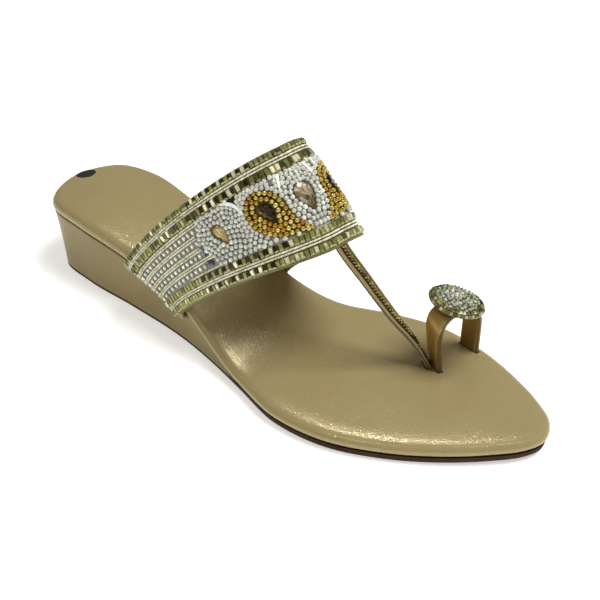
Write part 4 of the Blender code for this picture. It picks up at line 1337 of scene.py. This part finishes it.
def make_connector(want):
    """Strap from the band to the toe loop: flat leather, two piped edges and a braid of gold grains between them"""
    half = CONNECTOR_WIDTH / 2
    path, wide, up = strap_frames(CONNECTOR, 160, across=True)
    section = strap_profile(CONNECTOR_WIDTH, low=-1.0, high=0.35, edge=0.6)
    pipes = [sweep(path + wide * side * (half - PIPE_RADIUS) + up * PIPE_LIFT, wide, up, round_profile(PIPE_RADIUS, 10))
             for side in (-1, 1)]
    points, faces = joined(sweep(path, wide, up, section), *pipes)
    mesh = last_solid("connector_strap", points, faces)
    # painted shade: the face dark under the braid and pipes and a little between them, the sides nearly as dark, the
    # underside a little
    from_middle, above = np.abs(section[:, 0]), section[:, 1]
    clear = (from_middle > BRAID_HALF) & (from_middle < half - PIPE_ROOM)
    shade = np.where(above > STRAP_FACE, np.where(clear, 0.2, 1.0), np.where(above > STRAP_SIDE, 0.85, 0.1))
    shade = np.tile(shade, len(path))
    mark(mesh, "crease", np.concatenate([shade, np.zeros(len(points) - len(shade))]))
    leather = foil_leather("strap_leather", want.strap_colour, roughness=0.32, metallic=0.35, depth_mm=0.02)
    show("connector_strap", mesh, leather, "gold_cover")
    shades = ((0.0, 0.3), (0.35, 0.8), (0.7, 1.2), (1.0, 2.0))
    stops = tuple((at, shade_of(want.trim_colour, share)) for at, share in shades)
    trim = tinted("gold_trim", stops, roughness=0.25, metallic=0.65, speckle=0.5)
    edges = [(k, k + 1) for k in range(len(path) - 1)]
    for name, way in (("lateral", 1.0), ("medial", -1.0)):
        route = path + wide * (way * BRAID_APART) + up * BRAID_LIFT
        strung("connector_trim_" + name, "gold_cover", route, edges, {"up": up}, grain_bead(slant=40 * way), trim,
               want.trim_size, play=0.05, tilt=0.1, seed=51, pitch=want.trim_pitch)


LOOP_FOLD = 1.75    # width of the loop's turned front edge, which is painted with a highlight and, at its side, with shade
SLOT_SHADE = (0.006, 0.02)    # in metres above the part's own floor, where painted shade darkens the loop into its slots


def make_toe_loop(want):
    """Toe loop of satin leather with a turned front edge, darker where it goes into its slots"""
    path, wide, up = strap_frames(LOOP, 150, across=False, pitch=LOOP_PITCH)
    half = LOOP_WIDTH / 2
    profile = strap_profile(LOOP_WIDTH, -LOOP_WALL / 2, LOOP_WALL / 2, edge=0.8, crown=0.25, groove_at=half - 1.7,
                            groove=0.28, count=40)
    mesh = last_solid("toe_loop", *sweep(path, wide, up, profile))
    # painted highlight along the turned front edge, painted shade on the strap's front side
    past = np.tile(profile[:, 0], len(path)) - (half - LOOP_FOLD)
    mark(mesh, "edge", np.clip(past / 0.35, 0, 1))
    mark(mesh, "side", np.clip((past - 0.9) / 0.4, 0, 1))
    colour = want.loop_colour
    satin = foil_leather("loop_leather", colour, roughness=0.3, metallic=0.4, grain_mm=0.8, depth_mm=0.008)
    height = satin.node("ShaderNodeSeparateXYZ", {}, {0: satin.node("ShaderNodeTexCoord", output="Object")}, 2)
    # painted shade towards the slots, with a real mottle over it
    low = satin.spread(height, *SLOT_SHADE, 1.0, 0.0)
    body = satin.blend(low * 0.75 + satin.noise(5.0, 2.0) * 0.15, colour, shade_of(colour, 0.42))
    edge_highlighted = satin.blend(satin.attribute("edge") * 0.8, body, shade_of(want.strap_colour, 1.4))
    satin.put("Base Color", satin.blend(satin.attribute("side") * 0.85, edge_highlighted, shade_of(colour, 0.3)))
    show("toe_loop", mesh, satin, "gold_cover")


# ---------------------------------------------------------------- jewel

PLATE_STEP = 0.2    # the plate's slope is read over this far either way


def on_plate(radius, turn, lift=0.0):
    """A place on the jewel plate, with the way outwards and the way round."""
    heights, radii = column(PLATE, 1)[::-1], column(PLATE, 0)[::-1]
    z = np.interp(radius, radii, heights)
    ahead, behind = radius + PLATE_STEP, max(radius - PLATE_STEP, 0)
    slope = (np.interp(ahead, radii, heights) - np.interp(behind, radii, heights)) / (2 * PLATE_STEP)
    spin = Euler((math.radians(PLATE_ROLL), math.radians(PLATE_PITCH), 0.0)).to_matrix()
    c, s = math.cos(turn), math.sin(turn)
    out = Vector((-slope * c, -slope * s, 1.0)).normalized()
    spot = spin @ (Vector((radius * c * PLATE_STRETCH, radius * s, z)) + out * lift) + Vector(PLATE_CENTRE)
    return tuple(spot), tuple(spin @ out), tuple(spin @ Vector((-s, c, 0.0)))


def pave(name, rows, bead, finish, size, play, seed, tones):
    """Crystals set at (place, way outwards, way along) rows."""
    attributes = {"up": [row[1] for row in rows], "along": [row[2] for row in rows], "size": np.ones(len(rows)),
                  "tone": tones}
    strung(name, "crystal", [row[0] for row in rows], [], attributes, bead, finish, size, play, 0.0, seed)


RIM_RINGS = ((10.45, 46, -0.35, 0.0), (9.3, 40, -0.1, 0.04))    # radius, how many, lift and turn
CRYSTAL_ROOM, CRYSTAL_TRIES, CRYSTAL_REACH, CRYSTAL_LEAN = 1.32, 2600, 8.2, 0.22


def plate_metal():
    """Worn metal of the plate that the crystals are set in."""
    metal = Finish("jewel", (0.26, 0.22, 0.10), roughness=0.3, metallic=0.85)
    worn = metal.noise(1.2, 2.0)
    metal.put("Base Color", metal.blend(worn, (0.16, 0.13, 0.05), (0.42, 0.36, 0.18)))
    metal.put("Roughness", 0.24 + worn * 0.2)
    return metal


def scattered(rng):
    """Places all over the plate with room between them, each turned and leaning its own way, with their radius."""
    taken, field = np.zeros((0, 2)), []
    for r, t in zip(rng.random(CRYSTAL_TRIES), rng.random(CRYSTAL_TRIES)):
        radius, turn = math.sqrt(r) * CRYSTAL_REACH, t * 2 * math.pi
        p = np.array([radius * math.cos(turn), radius * math.sin(turn)])
        if (((taken - p) ** 2).sum(axis=1) > CRYSTAL_ROOM ** 2).all():
            taken = np.vstack([taken, p])
            spot, out, way = on_plate(radius, turn, -0.05)
            out = unit(out + rng.normal(0, CRYSTAL_LEAN, 3) * (1, 1, 0.2))
            spin = rng.random() * 2 * math.pi
            field.append((spot, out, np.array(way) * math.cos(spin) + np.cross(out, way) * math.sin(spin), radius))
    return field


def make_jewel(want):
    """Jewel plate paved with crystals: two rings of small square ones round a field of cut ones"""
    plate_metal().cover(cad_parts["toe_ornament"])
    rim = [on_plate(radius, 2 * math.pi * k / count + start, lift)
           for radius, count, lift, start in RIM_RINGS for k in range(count)]
    rng = np.random.default_rng(17)
    field = scattered(rng)
    square = turned_bead("square", ((0.66, 0.0), (0.7, 0.35), (0.4, 0.78)), 4, flat=True, start=math.pi / 4)
    stops = ((0.0, (0.05, 0.045, 0.012)), (0.4, (0.18, 0.165, 0.055)), (0.7, (0.34, 0.34, 0.15)),
             (1.0, (0.80, 0.82, 0.62)))
    finish = tinted("rim_crystals", stops, roughness=0.1, metallic=0.5, coat_weight=0.4)
    pave("jewel_rim", rim, square, finish, size=1.35, play=0.07, seed=41, tones=rng.random(len(rim)))
    cut = turned_bead("cut", ((0.5, 0.0), (0.56, 0.32), (0.34, 0.66)), 6, flat=True)
    stops = ((0.0, (0.10, 0.11, 0.05)), (0.2, (0.24, 0.30, 0.12)), (0.45, (0.38, 0.44, 0.26)),
             (0.6, (0.45, 0.46, 0.44)), (0.75, (0.62, 0.63, 0.60)), (1.0, (0.96, 0.97, 0.93)))
    finish = tinted("jewel_crystals", stops, roughness=0.08, metallic=0.25, speckle=0.3, coat_weight=0.6)
    # darker towards the rim
    tones = 1.22 - np.array([row[3] for row in field]) / 16.0 - 0.6 * rng.random(len(field))
    pave("jewel_crystals", field, cut, finish, size=1.45, play=0.12, seed=42, tones=np.clip(tones, 0.0, 1.0))


# ---------------------------------------------------------------- stage

CAMERA_PLACE, CAMERA_AIM = (0.2742, -0.3095, 0.3026), (0.0109, 0.0033, 0.0227)
CAMERA_SENSOR, CAMERA_CLIP = 36.0, (0.02, 50.0)
LAMP_AIM = (0.0, 0.0, 0.03)
ROOM_COLOUR = (1.0, 0.94, 0.82, 1.0)
# lamps: place, power, width and length of the panel, and whether it lights surfaces and shows as a sheen on them
LAMPS = (
    ("overhead", (0.52, 0.34, 1.35), 24.0, (0.8, 0.8), True, False),
    ("side", (-0.1, -1.5, 0.6), 2.5, (1.0, 0.8), True, False),
    ("sheen", (-0.40, 0.44, 1.4), 6.4, (0.4, 0.12), False, True),
    ("glint_toe", (0.45, 0.1, 1.4), 1.2, (0.1, 0.1), False, True),
    ("glint_side", (0.0, -0.75, 1.3), 1.2, (0.1, 0.1), False, True),
)


def aimed(name, data, place, aim):
    """A lamp or camera at a place, looking at its aim."""
    made = linked(name, data)
    made.location = place
    made.rotation_euler = (Vector(aim) - Vector(place)).to_track_quat("-Z", "Y").to_euler()
    return made


def make_stage(want):
    """Pale floor, soft lights and the camera"""
    size = want.floor_size
    mesh = bpy.data.meshes.new("floor")
    mesh.from_pydata([(-size, -size, 0), (size, -size, 0), (size, size, 0), (-size, size, 0)], [], [(0, 1, 2, 3)])
    floor = linked("floor", mesh)
    paint = Finish("floor_paint", (0.92, 0.92, 0.92), roughness=0.85)
    paint.put("Roughness", 0.8 + paint.noise(60.0) * 0.1)
    paint.put("Emission Color", (1.0, 1.0, 1.0, 1.0))
    paint.put("Emission Strength", want.floor_glow)
    paint.cover(floor)

    scene = bpy.context.scene
    world = bpy.data.worlds.new("studio")
    world.use_nodes = True
    room = world.node_tree.nodes["Background"].inputs
    room[0].default_value, room[1].default_value = ROOM_COLOUR, want.room_light
    scene.world = world
    for name, place, power, panel, lights, shines in LAMPS:
        lamp = bpy.data.lights.new(name, "AREA")
        lamp.shape = "RECTANGLE"
        lamp.energy, (lamp.size, lamp.size_y) = power * want.lamp_power, panel
        holder = aimed(name, lamp, place, LAMP_AIM)
        holder.visible_diffuse, holder.visible_glossy = lights, shines
    camera = aimed("camera", bpy.data.cameras.new("camera"), CAMERA_PLACE, CAMERA_AIM)
    camera.data.sensor_width, camera.data.lens = CAMERA_SENSOR, want.lens
    camera.data.clip_start, camera.data.clip_end = CAMERA_CLIP
    scene.camera = camera
    scene.view_settings.view_transform = "Standard"


# ---------------------------------------------------------------- what a user may change

def number(name, description, default, **kind):
    return bpy.props.FloatProperty(name=name, description=description, default=default, min=0.0, **kind)


def millimetres(name, description, default):
    return number(name, description + ", in millimetres", default)


def colour(name, description, default):
    return bpy.props.FloatVectorProperty(name=name, description=description, default=default, size=3, min=0.0,
                                         max=1.0, subtype="COLOR")


class SandalSizes(bpy.types.PropertyGroup):
    tread_pitch: millimetres("Tread pitch", "Distance between the cross ribs under the sole", 4.0)
    tread_depth: millimetres("Tread depth", "Depth of the grooves between the ribs", 0.5)
    slot_dimple: millimetres("Slot dimple", "How far the padding is drawn down at a strap slot", 0.8)
    label_width: millimetres("Label width", "Length of the plain oval at the heel", 12.6)
    label_height: millimetres("Label height", "Width of the plain oval at the heel", 8.8)
    pearl_size: millimetres("Pearl size", "Diameter of a pearl", 2.05)
    gold_size: millimetres("Gold bead size", "Diameter of a gold bead", 2.1)
    crystal_size: millimetres("Crystal size", "Width of a row crystal", 1.55)
    crystal_pitch: millimetres("Crystal pitch", "Distance between row crystals", 2.85)
    cord_size: millimetres("Cord size", "Diameter of a twisted cord", 1.04)
    cord_twist: millimetres("Cord twist", "Distance between the turns of a cord", 0.62)
    trim_size: millimetres("Trim size", "Width of half the connector's braid", 1.3)
    trim_pitch: millimetres("Trim pitch", "Distance between the braid's grains", 1.5)


class SandalColours(bpy.types.PropertyGroup):
    rubber_colour: colour("Rubber", "Outsole rubber", (0.050, 0.024, 0.012))
    cover_colour: colour("Wedge cover", "Foil leather on the wedge", (0.208, 0.157, 0.046))
    footbed_colour: colour("Footbed", "Foil leather on the footbed", (0.312, 0.251, 0.117))
    lining_colour: colour("Lining", "Inside of the instep band", (0.36, 0.29, 0.15))
    backing_colour: colour("Pearl backing", "Foil cloth under the pearls and crystals", (0.28, 0.285, 0.23))
    border_colour: colour("Border backing", "Foil cloth under the borders", (0.165, 0.155, 0.06))
    strap_colour: colour("Straps", "Leather of the connector and its edges", (0.33, 0.26, 0.125))
    loop_colour: colour("Toe loop", "Satin leather of the toe loop", (0.39, 0.245, 0.058))
    trim_colour: colour("Trim", "Twisted trim of the connector", (0.32, 0.255, 0.085))
    cord_colour: colour("Cord", "Twisted cords of the band", (0.76, 0.75, 0.56))
    olive_colour: colour("Olive beads", "Mirror beads of the borders", (0.225, 0.222, 0.066))
    pearl_colour: colour("Pearls", "Pearls of the field", (0.56, 0.59, 0.51))
    gold_colour: colour("Gold beads", "Beads of the curled motifs", (0.44, 0.32, 0.038))


class SandalStage(bpy.types.PropertyGroup):
    floor_size: number("Floor", "Half the width of the floor", 8.0, subtype="DISTANCE")
    room_light: number("Room light", "Brightness of the room", 0.27)
    floor_glow: number("Floor glow", "Brightness of the floor's own light", 0.5)
    lamp_power: number("Lamps", "Power of the lamps, in times the usual", 1.0)
    lens: number("Lens", "Focal length of the camera, in millimetres", 72.0, unit="CAMERA")


GROUPS = {"sandal_sizes": SandalSizes, "sandal_colours": SandalColours, "sandal_stage": SandalStage}


def ordered(scene):
    """The sizes and colours that the pieces are made to, and the beads' places."""
    want = {}
    for key, group in GROUPS.items():
        for name in group.__annotations__:
            value = getattr(getattr(scene, key), name)
            want[name] = value if isinstance(value, float) else tuple(value)
    return SimpleNamespace(**want, design=design_of(want["pearl_size"], want["gold_size"]))


PIECES = (
    ("Outsole", make_outsole), ("Wedge cover", make_wedge), ("Footbed", make_footbed), ("Heel label", make_heel_label),
    ("Instep band", make_band), ("Cords", make_cords), ("Mirror beads", make_mirror_rows),
    ("Crystal rows", make_crystal_rows), ("Stones", make_stones), ("Gold beads", make_gold_beads),
    ("Pearls", make_pearls), ("Mirror pieces", make_sequins), ("Connector", make_connector),
    ("Toe loop", make_toe_loop), ("Jewel", make_jewel), ("Stage", make_stage),
)


def operator_for(label, make):
    """The operator that makes a piece, with the piece's own words."""
    def execute(self, context):
        make(ordered(context.scene))
        return {"FINISHED"}

    key = make.__name__.removeprefix("make_")
    return type("SANDAL_OT_" + key, (bpy.types.Operator,), {
        "__doc__": make.__doc__, "bl_idname": "sandal." + key, "bl_label": label, "execute": execute})


OPERATORS = tuple(operator_for(*piece) for piece in PIECES)


class SANDAL_PT_panel(bpy.types.Panel):
    """Pieces of the sandal, in the order they are made"""
    bl_idname = "SANDAL_PT_panel"
    bl_label = "Sandal"
    bl_space_type = "VIEW_3D"
    bl_region_type = "UI"
    bl_category = "Sandal"

    def draw(self, context):
        for made in OPERATORS:
            self.layout.operator(made.bl_idname)
        for key, group in GROUPS.items():
            for name in group.__annotations__:
                self.layout.prop(getattr(context.scene, key), name)


CLASSES = (*GROUPS.values(), *OPERATORS, SANDAL_PT_panel)


def register():
    for made in CLASSES:
        bpy.utils.register_class(made)
    for key, group in GROUPS.items():
        setattr(bpy.types.Scene, key, bpy.props.PointerProperty(type=group))


def unregister():
    for key in GROUPS:
        delattr(bpy.types.Scene, key)
    for made in reversed(CLASSES):
        bpy.utils.unregister_class(made)


def main():
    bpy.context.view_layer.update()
    register()
    for made in OPERATORS:
        getattr(bpy.ops.sandal, made.bl_idname.removeprefix("sandal."))()


if __name__ == "__main__":
    main()
